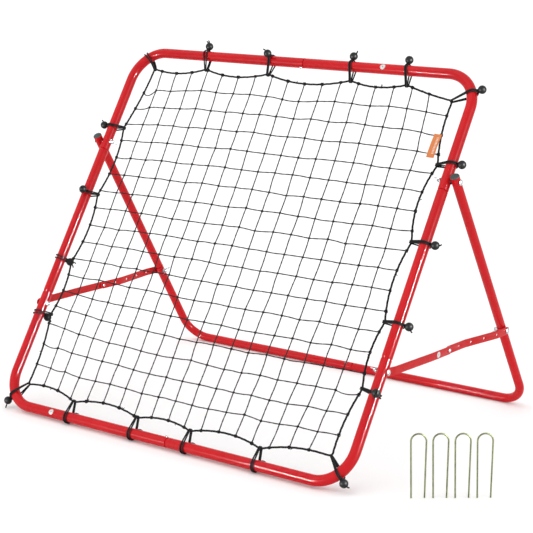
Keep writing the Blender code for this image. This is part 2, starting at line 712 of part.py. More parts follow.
# ---------------------------------------------------------------- ground stakes
def ground_stakes(root):
    """U-shaped wire pins, standing tips down."""
    top_half = STAKE_TOP_WIDTH / 2
    tip_half = STAKE_TIP_WIDTH / 2
    shoulder = STAKE_HEIGHT - STAKE_WIRE_R - top_half
    path = [(-tip_half, 0, 0)]
    for step in range(9):
        angle = math.pi * (1 - step / 8)
        path.append((top_half * math.cos(angle), 0, shoulder + top_half * math.sin(angle)))
    path.append((tip_half, 0, 0))
    pin = wire_mesh(path, STAKE_WIRE_R, 2)
    row = Matrix.Rotation(STAKE_HEADING, 3, "Z") @ Vector((STAKE_PITCH, 0, 0))
    for number in range(STAKE_COUNT):
        made = place("ground_stake_" + str(number + 1), pin, root, STAKE_ZINC,
                     Vector(STAKE_START) + row * number)
        made.rotation_euler = (0, 0, STAKE_HEADING)


# ---------------------------------------------------------------- the whole
def centre_on_floor(root):
    """Puts the origin under the middle of everything, at floor level."""
    bpy.context.view_layer.update()
    graph = bpy.context.evaluated_depsgraph_get()
    corners = []
    for item in PARTS.objects:
        if item.type == "MESH":
            finished = item.evaluated_get(graph)
            corners += [finished.matrix_world @ vertex.co for vertex in finished.data.vertices]
    middle = [(min(corner[axis] for corner in corners) + max(corner[axis] for corner in corners)) / 2
              for axis in (0, 1)]
    root.location = (-middle[0], -middle[1], -min(corner.z for corner in corners))
    bpy.context.view_layer.update()


def build():
    root = empty("rebounder_root", (0, 0, 0), 0, None)
    front_plane = empty("front_plane", (0, 0, RAIL_Z), tilt_of(UP_FRAME), root)
    leg_plane = empty("rear_frame_pivot", PIVOT, tilt_of(UP_LEG), root)
    front_tubes(front_plane)
    rear_tubes(leg_plane)
    leg_caps(leg_plane)
    frame_bolts(front_plane)
    leg_bolts(leg_plane)
    wing_nuts(front_plane, leg_plane)
    link_tilt = tilt_of(LEG_BOLT - RAIL_BOLT)
    for side, word in ((-1, "left"), (1, "right")):
        front_link(side, word, empty("front_link_pivot_" + word, RAIL_BOLT, link_tilt, root))
        rear_link(side, word, empty("rear_link_pivot_" + word, LEG_BOLT, link_tilt, root))
    snap_button("top", front_plane, TOP_SEAM_X - BUTTON_INSET, RAIL_TOP, -1, RAIL_R)
    snap_button("bottom", front_plane, BOTTOM_SEAM_X - BUTTON_INSET, 0, 1, RAIL_R)
    snap_button("rear", leg_plane, REAR_BUTTON_X, -LEG_LENGTH, 1, LEG_R)
    net(front_plane)
    side_ties("top", front_plane, TOP_TIES, (0, 1), TOP_REACH)
    side_ties("bottom", front_plane, BOTTOM_TIES, (0, -1), BOTTOM_REACH)
    side_ties("left", front_plane, LEFT_TIES, (-1, 0), LEFT_REACH)
    side_ties("right", front_plane, RIGHT_TIES, (1, 0), RIGHT_REACH)
    corner_ties(front_plane)
    ground_stakes(root)
    centre_on_floor(root)


build()
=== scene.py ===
"""Looks of the pitch-back rebounder: finer tubes, links and hardware along the CAD's own lines,
a knotted net with a laid border rope, doubled elastic ball ties, and their materials.

The front frame, the rear frame and the brace links are each drawn in their own plane: X across,
Y up or along, Z to the front. The matrices FRONT, REAR, FRONT_LINK and REAR_LINK take them to the
row frame. Lengths are in metres and named angles in degrees.
"""
import json
import random
from math import acos, asin, atan2, copysign, cos, degrees, dist, exp, hypot, pi, radians, sin, tau

import bmesh
import bpy
import numpy as np
from mathutils import Matrix, Vector


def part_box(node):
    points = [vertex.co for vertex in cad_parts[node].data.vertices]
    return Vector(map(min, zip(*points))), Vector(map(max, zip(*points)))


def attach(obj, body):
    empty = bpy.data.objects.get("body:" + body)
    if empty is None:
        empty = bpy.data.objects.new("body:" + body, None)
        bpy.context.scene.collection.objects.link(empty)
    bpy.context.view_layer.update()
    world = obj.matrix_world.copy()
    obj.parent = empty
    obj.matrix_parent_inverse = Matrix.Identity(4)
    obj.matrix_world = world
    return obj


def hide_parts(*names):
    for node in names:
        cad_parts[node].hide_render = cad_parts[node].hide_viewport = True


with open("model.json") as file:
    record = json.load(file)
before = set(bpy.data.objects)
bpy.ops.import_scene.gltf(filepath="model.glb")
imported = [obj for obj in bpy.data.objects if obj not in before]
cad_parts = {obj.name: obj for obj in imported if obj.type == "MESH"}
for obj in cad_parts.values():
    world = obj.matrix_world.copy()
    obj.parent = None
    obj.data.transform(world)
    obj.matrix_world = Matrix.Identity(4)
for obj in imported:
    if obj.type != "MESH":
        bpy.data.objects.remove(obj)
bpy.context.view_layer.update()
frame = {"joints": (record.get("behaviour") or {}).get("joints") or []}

# ---------------- sizes shared with the CAD
RAIL_R = 0.012
LEG_R = 0.0105
WALL = 0.0012
GAP = 0.0003
CORNER_RADIUS = 0.080
LEG_CORNER_RADIUS = 0.060
PIVOT_UP = 0.694
RAIL_TOP = 0.948
UPPER_SEAM_Y = 0.672
LOWER_SEAM_Y = 0.2825
LEG_SEAM_REACH = 0.425
LEG_TOP = 0.0145
INSERT = 0.050
SHOULDER = 0.004
BUTTON_INSET = 0.0085
REAR_BUTTON_X = 0.005
BUTTON_R = 0.0030
BUTTON_HOLE_R = 0.0034
BOLT_R = 0.0030
BOLT_HOLE_R = 0.0034
HUB_R = 0.0054
HUB_LENGTH = 0.0065
BOLT_TAIL = 0.003
LINK_WIDTH = 0.018
LINK_THICK = 0.0025
LINK_HOLE_R = 0.0023
ADJUST_HOLE_R = 0.0033
HOLES_PER_LINK = 5
LEG_FLUSH = 0.045
RAIL_FLUSH = 0.0115
KNEE_FLUSH = 0.072
KNEE_X = 0.5090
KNEE_SHANK_R = 0.0019
TIE_STEP = 0.0035
TIE_STEP_LENGTH = 0.010
CORD_R = 0.0015
ROPE_R = 0.0020
BALL_R = 0.0095
BALL_ORBIT = 0.0251
TOP_REACH = 0.0355
BOTTOM_REACH = 0.0368
LEFT_REACH = 0.0360
RIGHT_REACH = 0.0325
STAKE_WIRE_R = 0.00175
STAKE_SPLAY = 0.0021

# each tie: place along its rail, slip of its ball, angle of its ball, how far its two cords
# spread in front of the rail and behind it, and the lean of each cord end at its ball
TOP_TIES = (
    (-0.265, 0.013, 9, 0.0042, 0.0018, (20, 38)),
    (-0.076, 0.004, 74, 0.0017, 0.0040, (12,)),
    (0.160, 0.012, 9, 0.0017, 0.0036, (-35,)),
    (0.311, 0.013, 9, 0.0017, 0.0036, ()))
BOTTOM_TIES = (
    (-0.2806, 0.001, -110, 0.0030, 0.0017, (10,)),
    (-0.086, 0.002, -110, 0.0030, 0.0017, (-20, 15)),
    (0.068, 0.002, -110, 0.0030, 0.0017, (0,)),
    (0.2605, 0.003, -110, 0.0026, 0.0017, (10,)))
LEFT_TIES = (
    (0.231, 0.004, -106, 0.0034, 0.0024, (20,)),
    (0.369, -0.006, -115, 0.0034, 0.0020, (-15, 30)),
    (0.551, 0, 105, 0.0022, 0.0030, (40,)),
    (0.7345, 0, 12, 0.0020, 0.0030, (-50,)))
RIGHT_TIES = (
    (0.2105, -0.008, 55, 0.0017, 0.0026, (-35, -60)),
    (0.361, 0, -9, 0.0017, 0.0028, (-50,)),
    (0.5455, 0, 0, 0.0017, 0.0030, (8,)),
    (0.728, 0.007, 0, 0.0017, 0.0026, ()))
# corner ties begin with both places of the held border: across and up
CORNER_TIES = (
    (-0.4256, 0.9025, 0.018, -53, 0.0032, 0.0018, (30,)),
    (0.4388, 0.8826, 0.002, 0, 0.0017, 0.0018, ()),
    (0.4375, 0.0567, -0.006, 0, 0.0017, 0.0030, (12,)),
    (-0.4366, 0.0520, 0.004, 0, 0.0020, 0.0034, (35,)))

# ---------------- sizes of the looks alone
TINY = 1e-5
CORD_DRAWN_R = 0.0017
TWINE_R = 0.0013
RIM_EASE = 0.0003
THREAD_PITCH = 0.001
BEND_STEPS = 20
SHOULDER_STEPS = 5
TUBE_SIDES = 40
BAR_SEGMENT = pi / 12
SIDES = ((-1, "left"), (1, "right"))
JOINTS = {joint["name"]: joint for joint in frame["joints"]}
PIVOT = Vector(JOINTS["rear_frame_fold"]["pos_m"])
MID_X = PIVOT.x


# ---------------- places read from the frame
def at_middle(name):
    """A joint's place, moved across to the middle of the frame."""
    return Vector((MID_X, *JOINTS[name]["pos_m"][1:]))


def plane(origin, up):
    """Matrix of a plane through origin: X across, Y along up, Z square to both."""
    side = Vector((1, 0, 0))
    made = Matrix((side, up, side.cross(up))).transposed().to_4x4()
    made.translation = origin
    return made


RAIL_BOLT = at_middle("front_link_swing_left")
LEG_BOLT = at_middle("rear_link_swing_left")
UP_FRAME = (PIVOT - RAIL_BOLT).normalized()
UP_LEG = (PIVOT - LEG_BOLT).normalized()
ALONG_LINK = (LEG_BOLT - RAIL_BOLT).normalized()
LINK_REACH = (LEG_BOLT - RAIL_BOLT).length / 2
BOLT_REACH = (PIVOT - LEG_BOLT).length
LEG_LENGTH = (PIVOT.z - LEG_R * cos(BAR_SEGMENT)) / UP_LEG.z
RAIL_BOLT_Y = PIVOT_UP - BOLT_REACH
FRONT = plane(PIVOT - UP_FRAME * PIVOT_UP, UP_FRAME)
REAR = plane(PIVOT, UP_LEG)
FRONT_LINK = plane(RAIL_BOLT, ALONG_LINK)
REAR_LINK = plane(RAIL_BOLT + ALONG_LINK * LINK_REACH, ALONG_LINK)
ON_FRONT = ("root", FRONT)
ON_REAR = ("rear_frame", REAR)
RAIL_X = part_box("right_side_tube")[1].x - MID_X - RAIL_R
LEG_X = (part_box("right_leg_tube")[0].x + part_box("right_leg_tube")[1].x) / 2 - MID_X
TOP_SEAM_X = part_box("top_left_tube")[1].x - MID_X
BOTTOM_SEAM_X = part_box("bottom_left_tube")[1].x - MID_X
REAR_SEAM_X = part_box("rear_left_tube")[1].x - MID_X
RAIL_OUTSIDE = RAIL_X + RAIL_R + GAP
LEG_OUTSIDE = LEG_X + LEG_R + GAP
RAIL_INSIDE = RAIL_X - RAIL_R - GAP
LEG_INSIDE = LEG_X - LEG_R - GAP
SPIGOT_R = RAIL_R - WALL - GAP
LEG_SPIGOT_R = LEG_R - WALL - GAP
KNEE_FACE = KNEE_X + GAP / 2 + LINK_THICK


# ---------------- materials
def grey(value):
    return (value, value, value)


class Look:
    """A material in the making: its shader, and the nodes that feed it."""

    def __init__(self, name, colour, roughness, **uniform):
        self.made = bpy.data.materials.new(name)
        self.made.use_nodes = True
        self.tree = self.made.node_tree
        self.shader = self.tree.nodes["Principled BSDF"]
        self.shader.inputs["Base Color"].default_value = (*colour, 1)
        self.shader.inputs["Roughness"].default_value = roughness
        for socket, value in uniform.items():
            self.shader.inputs[socket.replace("_", " ")].default_value = value

    def add(self, kind, **settings):
        """A node; each setting is a socket's value, a feed for it, or a property of the node."""
        node = self.tree.nodes.new("ShaderNode" + kind)
        for name, value in settings.items():
            if name not in node.inputs:
                setattr(node, name, value)
            elif isinstance(value, bpy.types.NodeSocket):
                self.tree.links.new(value, node.inputs[name])
            else:
                node.inputs[name].default_value = value
        return node

    def feed(self, name, source):
        self.tree.links.new(source, self.shader.inputs[name])

    def noise(self, scale, detail=3.0):
        source = self.add("TexCoord").outputs["Object"]
        return self.add("TexNoise", Vector=source, Scale=scale, Detail=detail).outputs["Fac"]

    def ramp(self, factor, low, dark, high, light):
        """A colour ramp over factor, from dark at low to light at high."""
        ramp = self.add("ValToRGB", Fac=factor)
        for element, place, colour in zip(ramp.color_ramp.elements, (low, high), (dark, light)):
            element.position = place
            element.color = (*colour, 1)
        return ramp.outputs["Color"]

    def bump(self, height, distance, strength):
        made = self.add("Bump", Strength=strength, Distance=distance, Height=height)
        self.feed("Normal", made.outputs["Normal"])

    def sum(self, operation, *values):
        node = self.add("Math", operation=operation)
        for socket, value in zip(node.inputs, values):
            if isinstance(value, (int, float)):
                socket.default_value = value
            else:
                self.tree.links.new(value, socket)
        return node.outputs[0]

    def near(self, axis, centre, reach):
        """1 within reach of centre along an axis, else 0."""
        away = self.sum("ABSOLUTE", self.sum("SUBTRACT", axis, centre))
        return self.sum("LESS_THAN", away, reach)

    def uv_axes(self):
        """Along and around a swept shape: U in metres, V from 0 to 1 round it."""
        source = self.add("UVMap").outputs["UV"]
        return self.add("SeparateXYZ", Vector=source).outputs[:2]

    def surface(self, tint, rough, skin):
        """Tint and roughness from (scale, detail, *ramp), skin from (scale, detail, *bump)."""
        self.feed("Base Color", self.ramp(self.noise(*tint[:2]), *tint[2:]))
        self.feed("Roughness", self.ramp(self.noise(*rough[:2]), *rough[2:]))
        self.bump(self.noise(*skin[:2]), *skin[2:])
        return self.made


def powder_coat(name, colour, darker):
    """Gloss powder coat: an orange-peel skin, a clear sheen and faint handling marks."""
    look = Look(name, colour, 0.4, Coat_Weight=0.25, Coat_Roughness=0.05, Specular_IOR_Level=0.04)
    return look.surface((9.0, 4.0, 0.3, darker, 0.7, colour),
        (60.0, 5.0, 0.35, grey(0.24), 0.75, grey(0.38)), (700.0, 2.0, 0.00004, 0.5))


def metal(name, colour, darker, roughness, grain=900.0):
    look = Look(name, colour, roughness, Metallic=1.0)
    return look.surface((140.0, 5.0, 0.3, darker, 0.65, colour),
        (420.0, 4.0, 0.3, grey(roughness * 0.75), 0.7, grey(roughness * 1.4)),
        (grain, 3.0, 0.00003, 0.5))


def moulded(name, colour, roughness, grain, depth):
    """Moulded plastic with a fine spark-eroded texture."""
    look = Look(name, colour, roughness, Specular_IOR_Level=0.2)
    lighter = tuple(channel * 1.35 + 0.004 for channel in colour)
    return look.surface((60.0, 3.0, 0.35, colour, 0.75, lighter),
        (300.0, 4.0, 0.3, grey(roughness * 0.8), 0.7, grey(min(roughness * 1.5, 1))),
        (grain, 2.0, depth, 0.6))


def corded(name, colour, highlight, pitch, yarns, depth, roughness, braid=False):
    """Fine yarns that run round a twisted twine or rope, or cross on a braid; each yarn's crest is coloured
    lighter, a painted sheen.
    """
    look = Look(name, colour, roughness, Specular_IOR_Level=0.1 if braid else 0.08)
    along, around = look.uv_axes()
    run = look.sum("MULTIPLY", along, tau / pitch)
    turn = look.sum("MULTIPLY", around, tau * yarns)
    height = look.sum("SINE", look.sum("ADD", run, turn))
    if braid:
        height = look.sum("MULTIPLY", height, look.sum("SINE", look.sum("SUBTRACT", run, turn)))
        # painted sheen: the braid's crossing crests get the lighter highlight colour
        tint = look.ramp(height, 0.0, colour, 0.9, highlight)
    else:
        height = look.sum("ADD", height, look.sum("MULTIPLY", look.noise(900.0), 1.2))
        # painted sheen: the crests of the laid yarns get the lighter highlight colour
        tint = look.ramp(height, 0.2, colour, 1.0, highlight)
    look.feed("Base Color", tint)
    look.bump(height, depth, 0.8)
    return look.made


def tag_cloth(name):
    """Woven orange label with a stitched edge and a plain pale bar, with no lettering."""
    look = Look(name, (0.58, 0.14, 0.03), 0.75, Sheen_Weight=0.2)
    across_it, along_it = look.uv_axes()
    bar = look.sum("MULTIPLY", look.near(across_it, 0.62, 0.14), look.near(along_it, 0.5, 0.36))
    ticks = look.sum("LESS_THAN", look.sum("PINGPONG", along_it, 0.03), 0.018)
    mixed = look.add("Mix", data_type="RGBA")
    mixed.inputs[7].default_value = (0.72, 0.50, 0.40, 1)
    cloth = look.ramp(look.noise(500.0), 0.3, (0.54, 0.125, 0.012), 0.7, (0.66, 0.19, 0.022))
    look.tree.links.new(look.sum("MULTIPLY", bar, ticks), mixed.inputs[0])
    look.tree.links.new(cloth, mixed.inputs[6])
    look.feed("Base Color", mixed.outputs[2])
    weave = look.sum("MULTIPLY", look.sum("SINE", look.sum("MULTIPLY", across_it, 420.0)),
        look.sum("SINE", look.sum("MULTIPLY", along_it, 1260.0)))
    look.bump(weave, 0.00006, 0.8)
    return look.made


def label_paper(name):
    """White round label with a thin pale ring near its edge and no print."""
    look = Look(name, (0.62, 0.63, 0.62), 0.45, Coat_Weight=0.3)
    radial = look.uv_axes()[1]
    marks = look.sum("ADD", look.near(radial, 0.82, 0.05), look.sum("LESS_THAN", radial, 0.30))
    look.feed("Base Color", look.ramp(marks, 0.0, (0.62, 0.63, 0.62), 1.0, (0.30, 0.36, 0.33)))
    look.bump(look.noise(500.0), 0.00003, 0.4)
    return look.made


BLACK = (0.004, 0.004, 0.0045)
# painted sheen: the lighter colour painted on the crests of the black yarns
BLACK_SHEEN = (0.018, 0.018, 0.020)
RED = powder_coat("red_powder_coat", (0.56, 0.007, 0.011), (0.49, 0.005, 0.009))
RED_LINK = powder_coat("red_flat_bar_coat", (0.55, 0.016, 0.018), (0.49, 0.010, 0.013))
ZINC = metal("bright_zinc", (0.54, 0.56, 0.57), (0.30, 0.32, 0.33), 0.26)
SPRING = metal("spring_clip_steel", (0.42, 0.43, 0.44), (0.26, 0.27, 0.28), 0.3)
STAKE_ZINC = metal("yellow_zinc_wire", (0.13, 0.15, 0.075), (0.07, 0.085, 0.04), 0.42, 500.0)
CAP_PLASTIC = moulded("grey_cap_plastic", (0.045, 0.062, 0.061), 0.5, 1500.0, 0.00005)
BALL_PLASTIC = moulded("black_ball_plastic", (0.005, 0.006, 0.007), 0.4, 900.0, 0.00002)
WASHER_PLASTIC = moulded("black_washer_plastic", (0.010, 0.010, 0.011), 0.5, 1200.0, 0.00003)
ELASTIC = corded("black_elastic_braid", BLACK, BLACK_SHEEN, 0.0021, 8, 0.00012, 0.62, braid=True)
TWINE = corded("black_net_twine", (0.004, 0.004, 0.005), (0.020, 0.020, 0.023), 0.0035, 2, 0.0001, 0.7)
ROPE = corded("black_border_rope", BLACK, BLACK_SHEEN, 0.0022, 5, 0.00012, 0.75)
TAG = tag_cloth("orange_woven_tag")
PAPER = label_paper("white_round_label")


# ---------------- points and matrices
def moved(x, y, z=0.0):
    return Matrix.Translation((x, y, z))


def turned(angle, axis):
    return Matrix.Rotation(radians(angle), 4, axis)


def sized(size):
    return Matrix.Diagonal((size, size, size, 1))


def across(side, x, y=0.0):
    """Points +Z outwards along X on one side, with 0 at x."""
    return moved(side * x, y) @ turned(90 * side, "Y")


def polar(radius, angle):
    return radius * cos(angle), radius * sin(angle)


def arc(x, y, radius, start, end, steps):
    """Points on an arc, in degrees."""
    angles = [radians(start + (end - start) * step / steps) for step in range(steps + 1)]
    return [(x + radius * cos(angle), y + radius * sin(angle)) for angle in angles]


def smooth(part):
    return part * part * (3 - 2 * part)


def ribbon(line, thick):
    """Outline of a bent strip: both sides of a line of (u, v) points."""
    left, right = [], []
    for before, (u, v), after in zip(line[:1] + line[:-1], line, line[1:] + line[-1:]):
        run, climb = after[0] - before[0], after[1] - before[1]
        scale = thick / 2 / hypot(run, climb)
        left.append((u - climb * scale, v + run * scale))
        right.append((u + climb * scale, v - run * scale))
    return left + right[::-1]


# ---------------- mesh making
def transport(points, closed, start_normal):
    """Tangents and twist-free normals along a line of points."""
    ahead = np.roll(points, -1, axis=0)
    behind = np.roll(points, 1, axis=0)
    if not closed:
        ahead[-1] = points[-1]
        behind[0] = points[0]
    tangents = ahead - behind
    tangents /= np.linalg.norm(tangents, axis=1)[:, None]
    normals = np.zeros_like(points)
    normal = np.array(start_normal, float)
    for index, tangent in enumerate(tangents):
        normal = normal - tangent * (normal @ tangent)
        if np.linalg.norm(normal) < 1e-6:
            normal = np.cross(tangent, (0.3, 0.5, 0.8))
        normal = normal / np.linalg.norm(normal)
        normals[index] = normal
    return tangents, normals


def circles_along(points, sides, closed=False, normal=(0, 0, 1)):
    """Lengths along a line, the angles of its sides, and unit circles square to it."""
    tangents, normals = transport(points, closed, normal)
    sideways = np.cross(tangents, normals)
    angles = np.arange(sides) * tau / sides
    circles = (np.cos(angles)[None, :, None] * normals[:, None, :]
        + np.sin(angles)[None, :, None] * sideways[:, None, :])
    steps = np.linalg.norm(np.diff(points, axis=0), axis=1)
    return np.concatenate([[0], np.cumsum(steps)]), angles, circles


def placed_by(matrix, points):
    turn = np.array(matrix, float)
    return points @ turn[:3, :3].T + turn[:3, 3]


class Shape:
    """Gathers swept and turned surfaces into one mesh, with U along and V around each."""

    def __init__(self):
        self.points = []
        self.faces = []
        self.uvs = []
        self.count = 0

    def rings(self, grid, lengths, closed_along=False):
        """Joins rings of points, grid[ring, side], into a skin, with a face on each open end."""
        rows, sides = grid.shape[:2]
        start = self.count
        self.points.append(grid.reshape(-1, 3))
        self.count += rows * sides
        for row in range(rows if closed_along else rows - 1):
            after = (row + 1) % rows
            low, high = lengths[row], lengths[after] if after else lengths[row] + lengths[1] - lengths[0]
            here, there = start + row * sides, start + after * sides
            for side in range(sides):
                beyond = (side + 1) % sides
                self.faces.append((here + side, here + beyond, there + beyond, there + side))
                near, far = side / sides, (side + 1) / sides
                self.uvs += [(low, near), (low, far), (high, far), (high, near)]
        if not closed_along:
            self.faces.append(tuple(range(start, start + sides))[::-1])
            self.faces.append(tuple(range(start + (rows - 1) * sides, start + rows * sides)))
            self.uvs += [(lengths[0], 0.5)] * sides + [(lengths[-1], 0.5)] * sides

    def sweep(self, points, radius, sides=10, lobes=0, depth=0.0, pitch=0.01, normal=(0, 0, 1),
            rounded=False):
        """A round, or lobed and twisted, bar along points."""
        points = np.array([tuple(point) for point in points], float)
        radii = np.full(len(points), radius) if np.isscalar(radius) else np.array(radius, float)
        if rounded:
            points, radii = with_round_ends(points, radii)
        lengths, angles, circles = circles_along(points, sides, normal=normal)
        wave = np.cos(lobes * (angles[None, :] - tau * lengths[:, None] / pitch)) if lobes else 0
        reach = radii[:, None] * (1 + depth * wave) * np.ones((len(points), sides))
        self.rings(points[:, None, :] + reach[:, :, None] * circles, lengths)

    def turned(self, profile, matrix=Matrix.Identity(4), sides=36, ring=False):
        """A profile of (radius, height) turned about Z; a ring's profile closes on itself."""
        angles = [tau * side / sides for side in range(sides)]
        grid = np.array([[(*polar(radius, angle), height) for angle in angles]
            for radius, height in profile], float)
        steps = [dist(first, second) for first, second in zip(profile, profile[1:])]
        self.rings(placed_by(matrix, grid), np.concatenate([[0], np.cumsum(steps)]), ring)

    def copy_of(self, other, matrix):
        """Adds another shape's surface, moved by matrix."""
        points = placed_by(matrix, np.concatenate(other.points))
        self.points.append(points)
        self.faces += [tuple(self.count + corner for corner in face) for face in other.faces]
        self.uvs += other.uvs
        self.count += len(points)

    def mesh(self, name):
        made = bpy.data.meshes.new(name)
        made.from_pydata(np.concatenate(self.points).tolist(), [], self.faces)
        layer = made.uv_layers.new(name="UVMap")
        layer.data.foreach_set("uv", np.array(self.uvs, np.float32).ravel())
        return made


def with_round_ends(points, radii):
    """Extra rings that close both ends of a bar with a dome."""
    caps = []
    for tip, behind, radius in ((points[0], points[1], radii[0]), (points[-1], points[-2], radii[-1])):
        outward = (tip - behind) / np.linalg.norm(tip - behind)
        turns = [radians(angle) for angle in (30, 55, 75, 87)]
        caps.append([(tip + outward * radius * sin(turn), radius * cos(turn)) for turn in turns])
    rings = caps[0][::-1] + list(zip(points, radii)) + caps[1]
    return np.array([centre for centre, reach in rings]), np.array([reach for centre, reach in rings])


def finish_mesh(mesh, matrix=None, angle=40):
    body = bmesh.new()
    body.from_mesh(mesh)
    bmesh.ops.remove_doubles(body, verts=body.verts, dist=1e-7)
    bmesh.ops.recalc_face_normals(body, faces=body.faces)
    body.to_mesh(mesh)
    body.free()
    if matrix is not None:
        mesh.transform(matrix)
    mesh.shade_smooth()
    mesh.set_sharp_from_angle(angle=radians(angle))
    return mesh


def into_scene(name, data):
    made = bpy.data.objects.new(name, data)
    bpy.context.scene.collection.objects.link(made)
    return made


def piece(name, shape, colour, held=ON_FRONT, stands_for=(), angle=40):
    """One named piece in the row frame; held is its body and the plane it is drawn in."""
    body, matrix = held
    mesh = shape.mesh(name) if isinstance(shape, Shape) else shape
    made = into_scene(name, finish_mesh(mesh, matrix, angle))
    mesh.materials.clear()
    mesh.materials.append(colour)
    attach(made, body)
    if stands_for:
        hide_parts(*stands_for)
    return made


def evaluated(holder):
    """The finished mesh of an object with modifiers, or of a curve; the object is removed."""
    bpy.context.view_layer.update()
    finished = holder.evaluated_get(bpy.context.evaluated_depsgraph_get())
    mesh = bpy.data.meshes.new_from_object(finished)
    bpy.data.objects.remove(holder, do_unlink=True)
    return mesh


def boolean(first, second, operation, bevel=0.0):
    """Union, difference or intersection of two closed meshes, with its sharp edges eased."""
    tool = into_scene("tool", finish_mesh(second))
    holder = into_scene("holder", finish_mesh(first))
    cut = holder.modifiers.new("cut", "BOOLEAN")
    cut.operation = operation
    cut.solver = "EXACT"
    cut.object = tool
    if bevel:
        ease = holder.modifiers.new("ease", "BEVEL")
        ease.width = bevel
        ease.segments = 2
        ease.limit_method = "ANGLE"
        ease.angle_limit = radians(50)
    mesh = evaluated(holder)
    bpy.data.objects.remove(tool, do_unlink=True)
    return mesh


def outline(loops, thickness, bevel=0.0):
    """A flat plate in XY with an optional rounded edge; the first loop is its rim."""
    curve = bpy.data.curves.new("outline", "CURVE")
    curve.dimensions = "2D"
    curve.fill_mode = "BOTH"
    curve.extrude = thickness / 2 - bevel
    curve.bevel_depth = bevel
    curve.bevel_resolution = 2
    curve.offset = -bevel
    for loop in loops:
        spline = curve.splines.new("POLY")
        spline.points.add(len(loop) - 1)
        spline.use_cyclic_u = True
        for index, point in enumerate(loop):
            spline.points[index].co = (*point, 0, 1)
    return finish_mesh(evaluated(into_scene("outline", curve)))


# ---------------- tubes
def corner_path(start, corner, end, radius):
    start, corner, end = Vector((*start, 0)), Vector((*corner, 0)), Vector((*end, 0))
    back = (start - corner).normalized()
    onward = (end - corner).normalized()
    centre = corner + (back + onward) * radius
    turns = [pi / 2 * step / BEND_STEPS for step in range(BEND_STEPS + 1)]
    bend = [centre - onward * radius * cos(turn) - back * radius * sin(turn) for turn in turns]
    return [start] + bend + [end]


def tube_end(tip, outward, radius, spigot_r, is_spigot):
    """(centre, radius) rings from a tube's tip inwards: a narrowed spigot, or an eased rim."""
    if not is_spigot:
        return [(tip, radius - RIM_EASE), (tip - outward * RIM_EASE, radius)]
    rings = [(tip + outward * INSERT, spigot_r - RIM_EASE), (tip + outward * (INSERT - RIM_EASE), spigot_r)]
    for step in range(SHOULDER_STEPS + 1):
        part = step / SHOULDER_STEPS
        centre = tip - outward * (GAP + (SHOULDER - GAP) * part)
        rings.append((centre, spigot_r + (radius - spigot_r) * smooth(part)))
    return rings


def tube(name, path, spigots, held, button=None):
    """A hollow tube; button is the place and the facing of its snap button's hole."""
    radius, spigot_r = (RAIL_R, SPIGOT_R) if held is ON_FRONT else (LEG_R, LEG_SPIGOT_R)
    path = [Vector(point) for point in path]
    first = (path[0] - path[1]).normalized()
    last = (path[-1] - path[-2]).normalized()
    rings = (tube_end(path[0], first, radius, spigot_r, "start" in spigots)
        + [(point, radius) for point in path[1:-1]]
        + tube_end(path[-1], last, radius, spigot_r, "end" in spigots)[::-1])
    centres = np.array([tuple(centre) for centre, reach in rings])
    reaches = np.array([reach for centre, reach in rings])[:, None, None]
    lengths, angles, circles = circles_along(centres, TUBE_SIDES)
    outer = centres[:, None, :] + reaches * circles
    inner = centres[:, None, :] + (reaches - WALL) * circles
    shape = Shape()
    shape.rings(np.concatenate([outer, inner[::-1]]), np.concatenate([lengths, lengths[-1] + lengths]), True)
    if button:
        x, y, way = button
        hole = Shape()
        high, low = radius * 1.5, radius * 0.4
        hole.turned([(TINY, high), (BUTTON_HOLE_R, high), (BUTTON_HOLE_R, low), (TINY, low)],
            moved(x, y) @ turned(-90 * way, "X"))
        shape = boolean(shape.mesh("tube"), hole.mesh("hole"), "DIFFERENCE")
    piece(name + "_coated", shape, RED, held, (name,))


def tubes():
    ends = {"left": (), "right": ("end",)}
    for word, seam_x, height, seam_y, way in (
            ("top_", TOP_SEAM_X, RAIL_TOP, UPPER_SEAM_Y, -1), ("bottom_", BOTTOM_SEAM_X, 0, LOWER_SEAM_Y, 1)):
        for side, hand in SIDES:
            x = side * RAIL_X
            path = corner_path((x, seam_y), (x, height), (seam_x, height), CORNER_RADIUS)
            tube(word + hand + "_tube", path, ends[hand], ON_FRONT, (seam_x - BUTTON_INSET, height, way))
    for side, hand in SIDES:
        x = side * RAIL_X
        tube(hand + "_side_tube", [(x, LOWER_SEAM_Y, 0), (x, UPPER_SEAM_Y, 0)], ("start", "end"), ON_FRONT)
    for side, hand in SIDES:
        x = side * LEG_X
        tube(hand + "_leg_tube", [(x, LEG_TOP, 0), (x, -LEG_SEAM_REACH, 0)], ("end",), ON_REAR)
    for side, hand in SIDES:
        x = side * LEG_X
        path = corner_path((x, -LEG_SEAM_REACH), (x, -LEG_LENGTH), (REAR_SEAM_X, -LEG_LENGTH),
            LEG_CORNER_RADIUS)
        tube("rear_" + hand + "_tube", path, ends[hand], ON_REAR, (REAR_BUTTON_X, -LEG_LENGTH, 1))


# ---------------- hardware
def dome_profile(head_r, head_height, shank_r, length):
    """A round bolt head over a plain shank, top to bottom, its underside at 0."""
    rise = head_height * 0.78
    ball = (head_r * head_r + rise * rise) / (2 * rise)
    spread = degrees(asin(min(head_r / ball, 1)))
    crown = [(max(radius, TINY), height)
        for radius, height in arc(0, head_height - ball, ball, 90, 90 - spread, 8)]
    skirt = [(head_r, head_height * 0.12), (head_r - 0.0002, 0), (shank_r, 0)]
    return crown + skirt + [(shank_r, -length + 0.0004), (shank_r - 0.0004, -length), (TINY, -length)]


def threaded_tail(shape, matrix, radius, start, end):
    """Fine rings of thread on the end of a shank, from start down to end."""
    count = int((start - end) / THREAD_PITCH)
    foot = start - count * THREAD_PITCH
    profile = [(TINY, start)]
    for index in range(count):
        top = start - index * THREAD_PITCH
        profile += [(radius * 0.9, top), (radius * 1.02, top - THREAD_PITCH / 2)]
    shape.turned(profile + [(radius * 0.85, foot), (TINY, foot)], matrix, 28)


